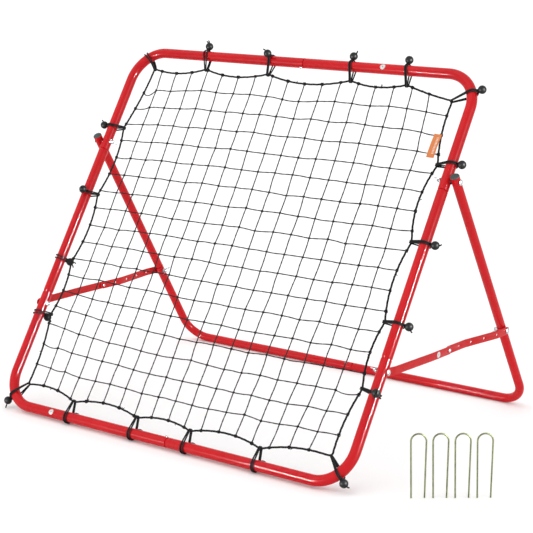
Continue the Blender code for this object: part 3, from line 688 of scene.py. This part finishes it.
def wing_nut_mesh():
    """Hub with two eased, leaning wings; its seat at 0 and its bore along Z."""
    hub = Shape()
    bore = BOLT_R + 0.0004
    flange = HUB_R + 0.0004
    hub.turned([(bore, HUB_LENGTH), (HUB_R * 0.80, HUB_LENGTH), (HUB_R * 0.86, HUB_LENGTH - 0.0004),
        (HUB_R * 0.93, 0.0026), (flange, 0.0012), (flange, 0.0003), (HUB_R + 0.0001, 0), (bore, 0)],
        ring=True)
    wing = ([(0.0042, 0.0010), (0.0064, 0.0013), (0.0090, 0.0026), (0.0116, 0.0052)]
        + arc(0.0127, 0.0090, 0.0018, -40, 160, 8)
        + [(0.0098, 0.0088), (0.0076, 0.0072), (0.0042, 0.0060)])
    one = outline([wing], 0.0019, 0.0005)
    one.transform(turned(90, "X"))
    other = one.copy()
    other.transform(turned(180, "Z"))
    return boolean(boolean(hub.mesh("hub"), one, "UNION"), other, "UNION")


def hardware():
    link_room = LINK_THICK + GAP
    shank_r = BOLT_R * 0.97
    nut = wing_nut_mesh()
    for side, hand in SIDES:
        for word, head_x, seat_x, y, held in (
                ("pivot_", LEG_OUTSIDE, RAIL_INSIDE, PIVOT_UP, ON_FRONT),
                ("rail_", RAIL_OUTSIDE + link_room, RAIL_INSIDE, RAIL_BOLT_Y, ON_FRONT),
                ("leg_", LEG_OUTSIDE + link_room, LEG_INSIDE, -BOLT_REACH, ON_REAR)):
            end_x = seat_x - HUB_LENGTH - BOLT_TAIL
            bolt = Shape()
            place = across(side, head_x, y)
            bolt.turned(dome_profile(0.0068, 0.0034, shank_r, head_x - end_x - 0.004), place)
            threaded_tail(bolt, place, shank_r, end_x + 0.006 - head_x, end_x - head_x)
            node = word + "bolt_" + hand
            piece(node + "_zinc", bolt, ZINC, held, (node,), 50)
            node = word + "wing_nut_" + hand
            seated = nut.copy()
            seated.transform(moved(side * seat_x, y) @ turned(-90 * side, "Y"))
            piece(node + "_zinc", seated, ZINC, (node + "_body", held[1]), (node,), 50)
        washer = Shape()
        inner, outer, low, high, ease = BOLT_HOLE_R, 0.0062, 0.0001, 0.0022, 0.0002
        washer.turned([(inner, high), (outer - ease, high), (outer, high - ease), (outer, low + ease),
            (outer - ease, low), (inner, low)], across(side, RAIL_OUTSIDE, PIVOT_UP), ring=True)
        piece("pivot_washer_" + hand, washer, WASHER_PLASTIC)


def leg_caps():
    """Push-in caps with a shallow dome, a moulded step and ribs on the plug."""
    plug_r = LEG_R - WALL - GAP
    neck_r = plug_r - 0.0006
    crown = [(TINY, 0.0040), (0.0030, 0.0039), (0.0058, 0.0036), (0.0078, 0.0031), (0.0090, 0.0024),
        (0.0099, 0.0017), (0.0104, 0.0011), (LEG_R, GAP + 0.0003), (LEG_R - 0.0002, GAP)]
    plug = [(neck_r, GAP)]
    for top in (-0.001, -0.003, -0.005):
        plug += [(neck_r, top), (plug_r - 0.0001, top - 0.0004), (neck_r, top - 0.0010)]
    plug += [(neck_r, -0.007), (TINY, -0.007)]
    for side, hand in SIDES:
        cap = Shape()
        cap.turned(crown + plug, moved(side * LEG_X, LEG_TOP) @ turned(-90, "X"), 40)
        name = hand + "_leg_cap"
        piece(name + "_moulded", cap, CAP_PLASTIC, ON_REAR, (name,), 50)


def snap_buttons():
    """A domed button on the end of a bent strip of spring steel, inside a tube."""
    dome_r = 0.003
    for name, where, x, y, way, radius in (
            ("top_button", FRONT, TOP_SEAM_X - BUTTON_INSET, RAIL_TOP, -1, RAIL_R),
            ("bottom_button", FRONT, BOTTOM_SEAM_X - BUTTON_INSET, 0, 1, RAIL_R),
            ("rear_button", REAR, REAR_BUTTON_X, -LEG_LENGTH, 1, LEG_R)):
        tip = radius + dome_r
        high = radius - 0.0047
        low = 0.0036 - radius + 0.0044
        rise = (high - low) / 2
        place = moved(x, y) @ turned(90 - 90 * way, "X")
        button = Shape()
        crown = [(max(reach, TINY), tip - dome_r + height) for reach, height in arc(0, 0, dome_r, 90, 10, 8)]
        button.turned(crown + [(BUTTON_R, tip - 0.0026), (BUTTON_R, high), (TINY, high)],
            place @ turned(-90, "X"))
        strip = [(-0.004, high)] + arc(0.022, low + rise, rise, 90, -90, 10) + [(-0.002, low)]
        clip = outline([ribbon(strip, 0.0006)], 0.005)
        clip.transform(place)
        joined = boolean(button.mesh("button"), clip, "UNION")
        piece(name + "_steel", joined, SPRING, (name + "_body", where), (name,))


# ---------------- brace links
def link_mesh(side, bends, holes):
    """A flat bar with round ends, joggled across X by (y, x) bends, punched and edge-eased."""
    profile = outline([[(side * x, y) for y, x in ribbon(bends, LINK_THICK)]], LINK_WIDTH)
    half = LINK_WIDTH / 2 - 0.00002
    rim = arc(0, 0, half, -90, -270, 18) + arc(LINK_REACH, 0, half, 90, -90, 18)
    punches = [arc(y, 0, radius, 0, 360, 24)[:-1] for y, radius in holes]
    stadium = outline([rim] + punches, 0.05)
    stadium.transform(Matrix(((0, 0, 1, side * KNEE_X), (1, 0, 0, 0), (0, 1, 0, 0), (0, 0, 0, 1))))
    return boolean(profile, stadium, "INTERSECT", 0.0004)


def softened(bends, reach=0.004):
    """Replaces each inner bend by a short curve."""
    made = [bends[0]]
    for before, bend, after in zip(bends, bends[1:], bends[2:]):
        for share in (0, 0.5, 1):
            into = min(reach / (bend[0] - before[0]), 0.5) * (1 - share)
            out = min(reach / (after[0] - bend[0]), 0.5) * share
            place = [at + (low - at) * into + (high - at) * out for low, at, high in zip(before, bend, after)]
            if share == 0.5:
                place = [(value + at) / 2 for value, at in zip(place, bend)]
            made.append(tuple(place))
    return made + [bends[-1]]


def brace_links():
    past = LINK_WIDTH / 2 + 0.001
    flush_rail = RAIL_OUTSIDE + LINK_THICK / 2
    flush_leg = LEG_OUTSIDE + LINK_THICK / 2
    outer = KNEE_FACE - LINK_THICK / 2
    inner = outer - GAP - LINK_THICK
    front_bends = softened((
        (-past, flush_rail), (RAIL_FLUSH, flush_rail), (RAIL_FLUSH + TIE_STEP_LENGTH, flush_rail + TIE_STEP),
        (LINK_REACH - KNEE_FLUSH, outer), (LINK_REACH + past, outer)))
    rear_bends = softened((
        (-past, inner), (KNEE_FLUSH, inner), (LINK_REACH - LEG_FLUSH, flush_leg),
        (LINK_REACH + past, flush_leg)))
    front_holes = [(0, BOLT_HOLE_R), (LINK_REACH, LINK_HOLE_R)]
    rear_holes = [(0, LINK_HOLE_R)]
    rear_holes += [(LINK_REACH * step / HOLES_PER_LINK, ADJUST_HOLE_R) for step in range(1, HOLES_PER_LINK)]
    rear_holes += [(LINK_REACH, BOLT_HOLE_R)]
    seat = -LINK_THICK - GAP
    for side, hand in SIDES:
        bolt, nut = Shape(), Shape()
        bolt.turned(dome_profile(0.0046, 0.0024, KNEE_SHANK_R, LINK_THICK + GAP),
            across(side, KNEE_FACE + GAP, LINK_REACH), 32)
        place = across(side, KNEE_X - GAP / 2)
        nut.turned([(TINY, 0), (KNEE_SHANK_R, 0), (KNEE_SHANK_R, seat - 0.001), (TINY, seat - 0.001)],
            place, 28)
        nut.turned([(TINY, seat), (0.0034, seat), (0.0040, seat - 0.0004), (0.0040, seat - 0.0026),
            (0.0034, seat - 0.003), (TINY, seat - 0.003)], place, 6)
        threaded_tail(nut, place, KNEE_SHANK_R, seat - 0.002, seat - 0.004)
        for name, bends, holes, where, fixing, shape in (
                ("front_link_", front_bends, front_holes, FRONT_LINK, "knee_bolt_", bolt),
                ("rear_link_", rear_bends, rear_holes, REAR_LINK, "knee_nut_", nut)):
            held = (name + hand + "_body", where)
            mesh = link_mesh(side, bends, holes)
            piece(name + hand + "_coated", mesh, RED_LINK, held, (name + hand,), 30)
            piece(fixing + hand + "_zinc", shape, ZINC, held, (fixing + hand,), 50)


# ---------------- net
CELLS = 18
NET_CENTRE = Vector((0, RAIL_TOP / 2))
ROPE_POINTS_PER_CELL = 12
# how far a stretch of border bows inwards for its length: the usual, and each unusual stretch
SAG_RATIO = 0.075
SAGS = {("top", 4): 0.02, ("left", 0): 0.03, ("left", 4): 0.045, ("right", 0): 0.05, ("right", 1): 0.095,
    ("right", 4): 0.05, ("bottom", 4): 0.058}
# slack lengths of twine by the border: row, column, downwards dip
SLACK = {(1, 0): 0.011, (2, 0): 0.005, (16, 0): 0.004, (17, 1): 0.003, (2, 17): 0.003, (1, 9): 0.002,
    (15, 17): 0.004, (5, 0): 0.002}
# the border cells that have loose ends
LOOSE_ENDS = {"top": (2.05, 5.1, 9.6, 14.3, 16.5), "right": (1.1, 5.4, 9.2, 13.2),
    "bottom": (1.6, 4.1, 6.2, 9.4, 12.7, 16.2), "left": (2.4, 5.6, 9.8, 12.2, 16.4)}


def side_anchors():
    """For each side of the net: (cell number, place) where its border is held, corner to corner."""
    top_left, top_right, bottom_right, bottom_left = [Vector(tie[:2]) for tie in CORNER_TIES]
    top = [Vector((tie[0], RAIL_TOP - TOP_REACH)) for tie in TOP_TIES]
    bottom = [Vector((tie[0], BOTTOM_REACH)) for tie in BOTTOM_TIES]
    left = [Vector((LEFT_REACH - RAIL_X, tie[0])) for tie in LEFT_TIES[::-1]]
    right = [Vector((RAIL_X - RIGHT_REACH, tie[0])) for tie in RIGHT_TIES[::-1]]
    # the first and last mesh of a side may be short or long, so a corner's own number may be off
    return {
        "top": list(zip((0.45, 3.87, 7.7, 12.5, 15.65, CELLS + 0.3), [top_left] + top + [top_right])),
        "right": list(zip((0.22, 3.55, 7.55, 11.5, 14.7, CELLS), [top_right] + right + [bottom_right])),
        "bottom": list(zip((0, 3.3, 7.2, 10.4, 14.55, CELLS + 0.2), [bottom_left] + bottom + [bottom_right])),
        "left": list(zip((-0.5, 3.25, 7.25, 11.2, 14.55, CELLS), [top_left] + left + [bottom_left]))}


ANCHORS = side_anchors()


def border_point(side, cell):
    """A place on the net's border, which hangs slack between its ties."""
    anchors = ANCHORS[side]
    if cell <= 0 or cell >= CELLS:
        return anchors[0 if cell <= 0 else -1][1].copy()
    for index, ((low, start), (high, end)) in enumerate(zip(anchors, anchors[1:])):
        if cell <= high + 1e-9:
            part = max((cell - low) / (high - low), 0)
            span = end - start
            inward = Vector((span.y, -span.x))
            if inward.dot(NET_CENTRE - start) < 0:
                inward = -inward
            sag = SAGS.get((side, index), SAG_RATIO)
            return start + span * part + inward * sag * 4 * part * (1 - part)
    return anchors[-1][1].copy()


def net_grid():
    """Knots of the net: [row, column] from the top left, held at the border and evened out inside."""
    grid = np.zeros((CELLS + 1, CELLS + 1, 2))
    for cell in range(CELLS + 1):
        grid[0, cell] = border_point("top", cell)
        grid[CELLS, cell] = border_point("bottom", cell)
        grid[cell, 0] = border_point("left", cell)
        grid[cell, CELLS] = border_point("right", cell)
    part = (np.arange(CELLS + 1) / CELLS)[1:-1]
    over, down = part[None, :, None], part[:, None, None]
    grid[1:-1, 1:-1] = ((1 - over) * grid[1:-1, :1] + over * grid[1:-1, -1:]
        + (1 - down) * grid[:1, 1:-1] + down * grid[-1:, 1:-1]) / 2
    for sweep in range(400):
        grid[1:-1, 1:-1] = (grid[:-2, 1:-1] + grid[2:, 1:-1] + grid[1:-1, :-2] + grid[1:-1, 2:]) / 4
    jitter = np.random.RandomState(3).normal(0, 0.0011, grid.shape)
    grid[1:-1, 1:-1] += jitter[1:-1, 1:-1]
    return grid


GRID = net_grid()


def net_place(x, y):
    """A net point in the front plane: the net sags a little out of the plane in its middle."""
    over = max(1 - (x / 0.45) ** 2, 0)
    up = max(1 - ((y - 0.475) / 0.43) ** 2, 0)
    return Vector((x, y, -0.004 * over * up))


def add_twine(twine, cells, bow_of, steps=7):
    """One twisted twine through its knots, with a slight bow between them."""
    points = []
    for index, (start, end) in enumerate(zip(cells, cells[1:])):
        start, end = Vector(start), Vector(end)
        bow, dip, lift = bow_of(index)
        square = Vector((-(end - start).y, (end - start).x)).normalized()
        for step in range(steps):
            part = step / steps
            hump = 4 * part * (1 - part)
            at = start.lerp(end, part) + square * bow * hump * sin(pi * (0.2 + part))
            placed = net_place(at.x, at.y - dip * hump)
            placed.z += lift * hump
            points.append(placed)
    points.append(net_place(*cells[-1]))
    twine.sweep(points, TWINE_R, 7, lobes=2, depth=0.16, pitch=0.0085)


def knot_shape():
    """A small fisherman's knot: one twine turned twice round the other."""
    knot = Shape()
    turn, other = [], []
    for step in range(23):
        x, z = polar(0.0018, tau * 1.8 * step / 22 + 0.6)
        turn.append((x, 0.0029 * (step / 22 - 0.5), z))
    for step in range(14):
        angle = tau * 1.15 * step / 13
        other.append((0.0021 * (step / 13 - 0.5), 0.0017 * cos(angle), 0.0019 * sin(angle)))
    knot.sweep(turn, 0.00105, 6, rounded=True)
    knot.sweep(other, 0.00100, 6, rounded=True)
    return knot


def net():
    twine, knots, knot = Shape(), Shape(), knot_shape()
    draws = random.Random(11)

    def row_bow(row):
        return lambda cell: (draws.uniform(-0.0011, 0.0011), SLACK.get((row, cell), 0.0),
            draws.uniform(-0.0008, 0.0008))

    def column_bow(cell):
        return draws.uniform(-0.0009, 0.0009), 0.0, draws.uniform(-0.0008, 0.0008)

    for row in range(1, CELLS):
        add_twine(twine, GRID[row], row_bow(row))
    for column in range(1, CELLS):
        add_twine(twine, GRID[:, column], column_bow)
    piece("net_twine", twine, TWINE, ON_FRONT, ("net",), 60)
    for row in range(1, CELLS):
        for column in range(1, CELLS):
            run = GRID[row, column + 1] - GRID[row, column - 1]
            turn = atan2(run[1], run[0]) + draws.uniform(-0.4, 0.4)
            if draws.random() < 0.5:
                turn += pi / 2
            size = draws.uniform(0.92, 1.15)
            tilt = degrees(draws.uniform(-0.5, 0.5))
            knots.copy_of(knot, Matrix.Translation(net_place(*GRID[row, column]))
                @ turned(degrees(turn), "Z") @ turned(tilt, "X") @ sized(size))
    piece("net_knots", knots, TWINE, angle=60)


def border_rope():
    """Laid rope round the net, hitched at every twine, with a few loose ends."""
    line = []
    for side, backwards in (("top", False), ("right", False), ("bottom", True), ("left", True)):
        for step in range(CELLS * ROPE_POINTS_PER_CELL):
            cell = step / ROPE_POINTS_PER_CELL
            line.append(tuple(border_point(side, CELLS - cell if backwards else cell)))
    line = np.array(line)
    for sweep in range(2):
        line = (np.roll(line, 1, axis=0) + 2 * line + np.roll(line, -1, axis=0)) / 4
    placed = [net_place(x, y) for x, y in line]
    rope, hitches, hitch, ends = Shape(), Shape(), Shape(), Shape()
    rope.sweep(placed + placed[:1], ROPE_R * 1.1, 12, lobes=3, depth=0.12, pitch=0.016, rounded=True)
    piece("net_border_rope", rope, ROPE, angle=60)
    hitch.sweep([(0.0048 * (step / 29 - 0.5), *polar(0.0029, tau * 2.1 * step / 29)) for step in range(30)],
        0.00095, 6, rounded=True)
    draws = random.Random(5)
    for side in LOOSE_ENDS:
        for cell in range(1, CELLS):
            run = border_point(side, cell + 0.1) - border_point(side, cell - 0.1)
            size = draws.uniform(0.95, 1.12)
            hitches.copy_of(hitch, Matrix.Translation(net_place(*border_point(side, cell)))
                @ turned(degrees(atan2(run.y, run.x)), "Z") @ sized(size))
    piece("net_border_hitches", hitches, TWINE, angle=60)
    for side, cells in LOOSE_ENDS.items():
        for cell in cells:
            at = net_place(*border_point(side, cell))
            for strand in range(draws.choice((1, 2, 2, 3))):
                way = draws.uniform(0, tau)
                reach = draws.uniform(0.004, 0.0075)
                out = Vector((cos(way), sin(way), draws.uniform(-0.5, 0.8))).normalized()
                bend = Vector((draws.uniform(-1, 1), draws.uniform(-1, 1), 0)) * 0.0012
                path = [at + out * reach * part + bend * sin(part * 2.6)
                    for part in (0, 0.2, 0.4, 0.6, 0.8, 1.0)]
                ends.sweep(path, [0.0010, 0.0010, 0.0009, 0.0008, 0.0007, 0.0005], 6, rounded=True)
    piece("net_loose_ends", ends, TWINE, angle=60)


# ---------------- ball ties
WRAP_R = RAIL_R + GAP + CORD_R
HOLD_R = ROPE_R + CORD_R + 0.0009
WRAP_STEPS = 40
RUN_STEPS = 10
HOLD_STEPS = 12
NECK_ANGLE = 0.55
NECK_LIFT = 0.0026


def straight_spot(point, outward):
    """Takes (along, out, front) to a place by a straight rail."""
    ox, oy = outward
    return lambda along, out, front: Vector(
        (point[0] - oy * along + ox * out, point[1] + ox * along + oy * out, front))


def bend_spot(corner):
    """The same by a bend of the rail, and the reach from there to the border's corner."""
    side_x = copysign(1, corner[0])
    centre_y = RAIL_TOP - CORNER_RADIUS if corner[1] > RAIL_TOP / 2 else CORNER_RADIUS
    centre = Vector((side_x * (RAIL_X - CORNER_RADIUS), centre_y))
    pull = Vector(corner) - centre
    heading = atan2(pull.y, pull.x)

    def spot(along, out, front):
        x, y = polar(CORNER_RADIUS + out, heading + along / CORNER_RADIUS)
        return Vector((centre.x + x, centre.y + y, front))
    return spot, CORNER_RADIUS - pull.length


def belt_line(reach):
    """One turn round rail and border: (inwards, front, angle round the rail, or None off it)."""
    flare = acos((WRAP_R - HOLD_R) / reach)
    start = (WRAP_R * cos(flare), -WRAP_R * sin(flare))
    end = (reach + HOLD_R * cos(flare), -HOLD_R * sin(flare))
    parts = [step / RUN_STEPS for step in range(1, RUN_STEPS)]
    run = [[low + (high - low) * part for low, high in zip(start, end)] for part in parts]
    turns = [flare + (tau - 2 * flare) * step / WRAP_STEPS for step in range(WRAP_STEPS + 1)]
    holds = [polar(HOLD_R, -flare + 2 * flare * step / HOLD_STEPS) for step in range(HOLD_STEPS + 1)]
    return ([(*polar(WRAP_R, turn), turn) for turn in turns]
        + [(inward, front, None) for inward, front in run]
        + [(reach + x, y, None) for x, y in holds]
        + [(inward, -front, None) for inward, front in run[::-1]])


def tie(name, spot, reach, slip, ball_angle, front_spread, back_spread, leans):
    """Two turns of elastic cord round the rail and the net's border, drawn into a ball."""
    ball_turn = radians(180 - ball_angle)
    cords, ball = Shape(), Shape()
    for strand in (-1, 1):
        path = []
        for inward, front, angle in belt_line(reach):
            near_rail = min(max((reach - inward) / reach, 0), 1)
            spread = CORD_DRAWN_R * 0.98 + ((front_spread if front > 0 else back_spread) - CORD_R) * near_rail
            scale = 1
            if angle is not None:
                off = abs(atan2(sin(angle - ball_turn), cos(angle - ball_turn)))
                soft = smooth(max(0.0, 1 - off / NECK_ANGLE))
                spread = spread * (1 - soft) + CORD_R * 0.75 * soft
                scale = 1 + NECK_LIFT * soft / WRAP_R
            along = slip * max(reach - inward, 0) / (reach + WRAP_R) + strand * spread
            path.append(spot(along, -inward * scale, front * scale))
        cords.sweep(path + path[:1], CORD_DRAWN_R, 10, normal=(0.2, 0.3, 1))
    turn = radians(ball_angle)

    def by_ball(out, sideways=0.0, round_it=0.0):
        """A place out from the rail along the ball's own line."""
        return spot(slip + sideways, out * cos(turn) - round_it * sin(turn),
            out * sin(turn) + round_it * cos(turn))

    collar = [by_ball(RAIL_R + 0.0032, 0.0034 * cos(angle), 0.0026 * sin(angle))
        for angle in (tau * step / 22 for step in range(22))]
    cords.sweep(collar + collar[:1], CORD_R * 0.9, 9, normal=(0.3, 0.1, 1))
    draws = random.Random(name)
    for lean in map(radians, leans):
        tip = BALL_R + draws.uniform(0.0045, 0.0062)
        path = [by_ball(BALL_ORBIT + out * cos(lean), out * sin(lean))
            for out in (0.003, 0.3 * BALL_R + 0.7 * 0.003, BALL_R - 0.001, (BALL_R + tip) / 2, tip)]
        path[-1] = path[-1] + by_ball(0, 0.0012, 0.0008) - by_ball(0)
        cords.sweep(path, [0.0012, 0.0014, 0.0016, 0.0016, 0.0016], 9, normal=(0.3, 0.2, 1), rounded=True)
    piece(name + "_cord", cords, ELASTIC, ON_FRONT, (name,), 60)
    centre = by_ball(BALL_ORBIT)
    out = (by_ball(BALL_ORBIT + 0.01) - centre).normalized()
    place = Matrix.Translation(centre) @ out.to_track_quat("Z", "Y").to_matrix().to_4x4()
    mouth = 0.0019
    edge = degrees(acos(mouth / BALL_R))
    seam = [(radius + 0.00012 * exp(-(height / 0.0003) ** 2), height)
        for radius, height in arc(0, 0, BALL_R, edge, -edge, 26)]
    ball.turned([(mouth - 0.0004, 0.004), (mouth - 0.0002, seam[0][1] - 0.0002)] + seam
        + [(mouth - 0.0002, seam[-1][1] + 0.0002), (mouth - 0.0004, -0.004)], place, 40, ring=True)
    piece(name + "_ball", ball, BALL_PLASTIC, angle=50)


def ties():
    for name, rows, outward, reach in (
            ("top", TOP_TIES, (0, 1), TOP_REACH), ("bottom", BOTTOM_TIES, (0, -1), BOTTOM_REACH),
            ("left", LEFT_TIES, (-1, 0), LEFT_REACH), ("right", RIGHT_TIES, (1, 0), RIGHT_REACH)):
        for number, (along, *rest) in enumerate(rows, 1):
            point = (outward[0] * RAIL_X, along) if outward[0] else (along, RAIL_TOP if outward[1] > 0 else 0)
            tie(name + "_tie_" + str(number), straight_spot(point, outward), reach, *rest)
    for x, y, *rest in CORNER_TIES:
        name = ("top_" if y > RAIL_TOP / 2 else "bottom_") + ("right" if x > 0 else "left")
        tie(name + "_corner_tie", *bend_spot((x, y)), *rest)


# ---------------- labels and tag
LABEL_R = 0.0067
LABEL_THICK = 0.00012
LABEL_RINGS = 7
LABEL_SIDES = 36


def label(name, held, surface):
    """A round label; surface takes (across, along, height) to a place on what it is stuck to."""
    reaches = [max(LABEL_R * ring / LABEL_RINGS, TINY) for ring in range(LABEL_RINGS + 1)]
    rows = [(reach, 2 * LABEL_THICK) for reach in reaches] + [(reach, LABEL_THICK) for reach in reaches[::-1]]
    grid = [[tuple(surface(*polar(reach, tau * side / LABEL_SIDES), height)) for side in range(LABEL_SIDES)]
        for reach, height in rows]
    shares = [ring / LABEL_RINGS for ring in range(LABEL_RINGS + 1)]
    shares += shares[::-1]
    shape = Shape()
    shape.rings(np.array(grid, float), np.arange(len(grid), dtype=float))
    shape.uvs = [(around, shares[round(along)]) for along, around in shape.uvs]
    piece(name, shape, PAPER, held, angle=50)


def labels():
    for name, x, y in (("top_rail_label", 0.240, RAIL_TOP), ("bottom_rail_label", -0.326, 0)):
        label(name, ON_FRONT, lambda over, up, height: (
            x + over, y + (RAIL_R + height) * sin(up / RAIL_R), (RAIL_R + height) * cos(up / RAIL_R)))
    place = across(1, KNEE_FACE, 0.187)
    label("link_label", ("front_link_right_body", FRONT_LINK), lambda *point: place @ Vector(point))


def net_tag():
    """A woven tag sewn to a twine by the right border, slightly curled."""
    width, height, thick = 0.019, 0.057, 0.0006
    columns, rows = 9, 24
    centre = Vector((0.4338, 0.7705))
    lean = radians(-1.5)

    def at(over, up, lift):
        u, v = (over - 0.5) * width, (up - 0.5) * height
        curl = 0.0016 * sin(up * 2.7 + 0.4) + 0.0011 * (over - 0.5) ** 2 * 4
        return (centre.x + u * cos(lean) - v * sin(lean), centre.y + u * sin(lean) + v * cos(lean),
            0.0030 + curl + lift)

    shares = [column / columns for column in range(columns + 1)]
    grid = [[at(share, row / rows, thick) for share in shares]
        + [at(share, row / rows, 0) for share in shares[::-1]] for row in range(rows + 1)]
    shape, stitches = Shape(), Shape()
    shape.rings(np.array(grid, float), np.arange(rows + 1) / rows)
    shares += shares[::-1]
    sides = len(shares)
    shape.uvs = [(shares[round(around * sides) % sides], along) for along, around in shape.uvs]
    made = piece("net_tag", shape, TAG, angle=60)
    rise = Vector((0, 0, 0.00025))
    for row in range(12):
        up = 0.04 + row * 0.084
        first, last = Vector(at(0.93, up, thick)), Vector(at(0.93, up + 0.045, thick))
        stitches.sweep([first, first + rise, last + rise, last], 0.00022, 6, normal=(1, 0, 0), rounded=True)
    piece("net_tag_stitches", stitches, TAG, angle=60)


# ---------------- ground stakes
def ground_stakes():
    for number in range(1, 5):
        node = "ground_stake_" + str(number)
        low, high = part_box(node)
        run = Vector((high.x - low.x, high.y - low.y, 0))
        wide = run.length / 2 - STAKE_WIRE_R
        shoulder = high.z - low.z - STAKE_WIRE_R - wide
        leg = [(wide - STAKE_SPLAY + STAKE_SPLAY * step / 8, shoulder * step / 8) for step in range(8)]
        line = [(-x, z) for x, z in leg] + arc(0, shoulder, wide, 180, 0, 20) + leg[::-1]
        stake = Shape()
        stake.sweep([(x, 0, z) for x, z in line], STAKE_WIRE_R, 20, normal=(0, 1, 0))
        heading = degrees(atan2(run.y, run.x))
        place = moved((low.x + high.x) / 2, (low.y + high.y) / 2, low.z) @ turned(heading, "Z")
        piece(node + "_wire", stake, STAKE_ZINC, ("root", place), (node,), 50)


# ---------------- stage
def stage():
    """A pale floor and a bright studio: an overhead lamp, and two strips seen only as gleams."""
    floor_mesh = bpy.data.meshes.new("floor")
    corners = ((-60, -60, 0), (60, -60, 0), (60, 60, 0), (-60, 60, 0))
    floor_mesh.from_pydata(corners, [], [(0, 1, 2, 3)])
    floor = into_scene("floor", floor_mesh)
    floor.location = (0, 0, -0.0002)
    look = Look("pale_floor", (0.93, 0.93, 0.93), 0.8, Specular_IOR_Level=0.2)
    look.feed("Base Color", look.ramp(look.noise(0.8, 2.0), 0.3, grey(0.925), 0.7, grey(0.935)))
    floor_mesh.materials.append(look.made)
    bpy.context.scene.view_settings.view_transform = "Standard"
    world = bpy.data.worlds.new("studio")
    bpy.context.scene.world = world
    world.use_nodes = True
    background = world.node_tree.nodes["Background"]
    background.inputs["Color"].default_value = (1, 1, 1, 1)
    background.inputs["Strength"].default_value = 1.1
    for name, kind, place, target, size, power in (
            ("overhead", "SUN", (-1.2, -1.6, 4.0), (0, 0, 0.4), (0.9, 0.9), 0.4),
            ("right_strip", "AREA", (3.2, -0.2, 1.15), (0, -0.2, 0.6), (0.32, 1.15), 450),
            ("left_strip", "AREA", (-1.42, -2.9, 0.16), (-1.42, 0, 0.3), (1.25, 0.14), 230)):
        light = bpy.data.lights.new(name, kind)
        light.energy = power
        if kind == "AREA":
            light.shape = "RECTANGLE"
            light.size, light.size_y = size
        else:
            light.angle = size[0]
        lamp = into_scene(name, light)
        lamp.location = place
        lamp.visible_diffuse = kind == "SUN"
        lamp.rotation_mode = "QUATERNION"
        lamp.rotation_quaternion = (Vector(target) - Vector(place)).to_track_quat("-Z", "Y")


def camera():
    """Stands where the thrower's right would be, a little above the frame."""
    data = bpy.data.cameras.new("camera")
    data.lens = 107.6
    data.sensor_width = 36
    data.clip_start = 0.1
    data.clip_end = 60
    made = into_scene("camera", data)
    right = Vector((0.80119, 0.59838, -0.00600))
    up = Vector((-0.13300, 0.18783, 0.97316))
    facing = Matrix((right, up, right.cross(up))).transposed().to_4x4()
    facing.translation = FRONT.translation + Vector((2.1934, -2.5335, 1.1853))
    made.matrix_world = facing
    bpy.context.scene.camera = made


camera()
stage()
tubes()
brace_links()
hardware()
leg_caps()
snap_buttons()
net()
border_rope()
ties()
labels()
net_tag()
ground_stakes()
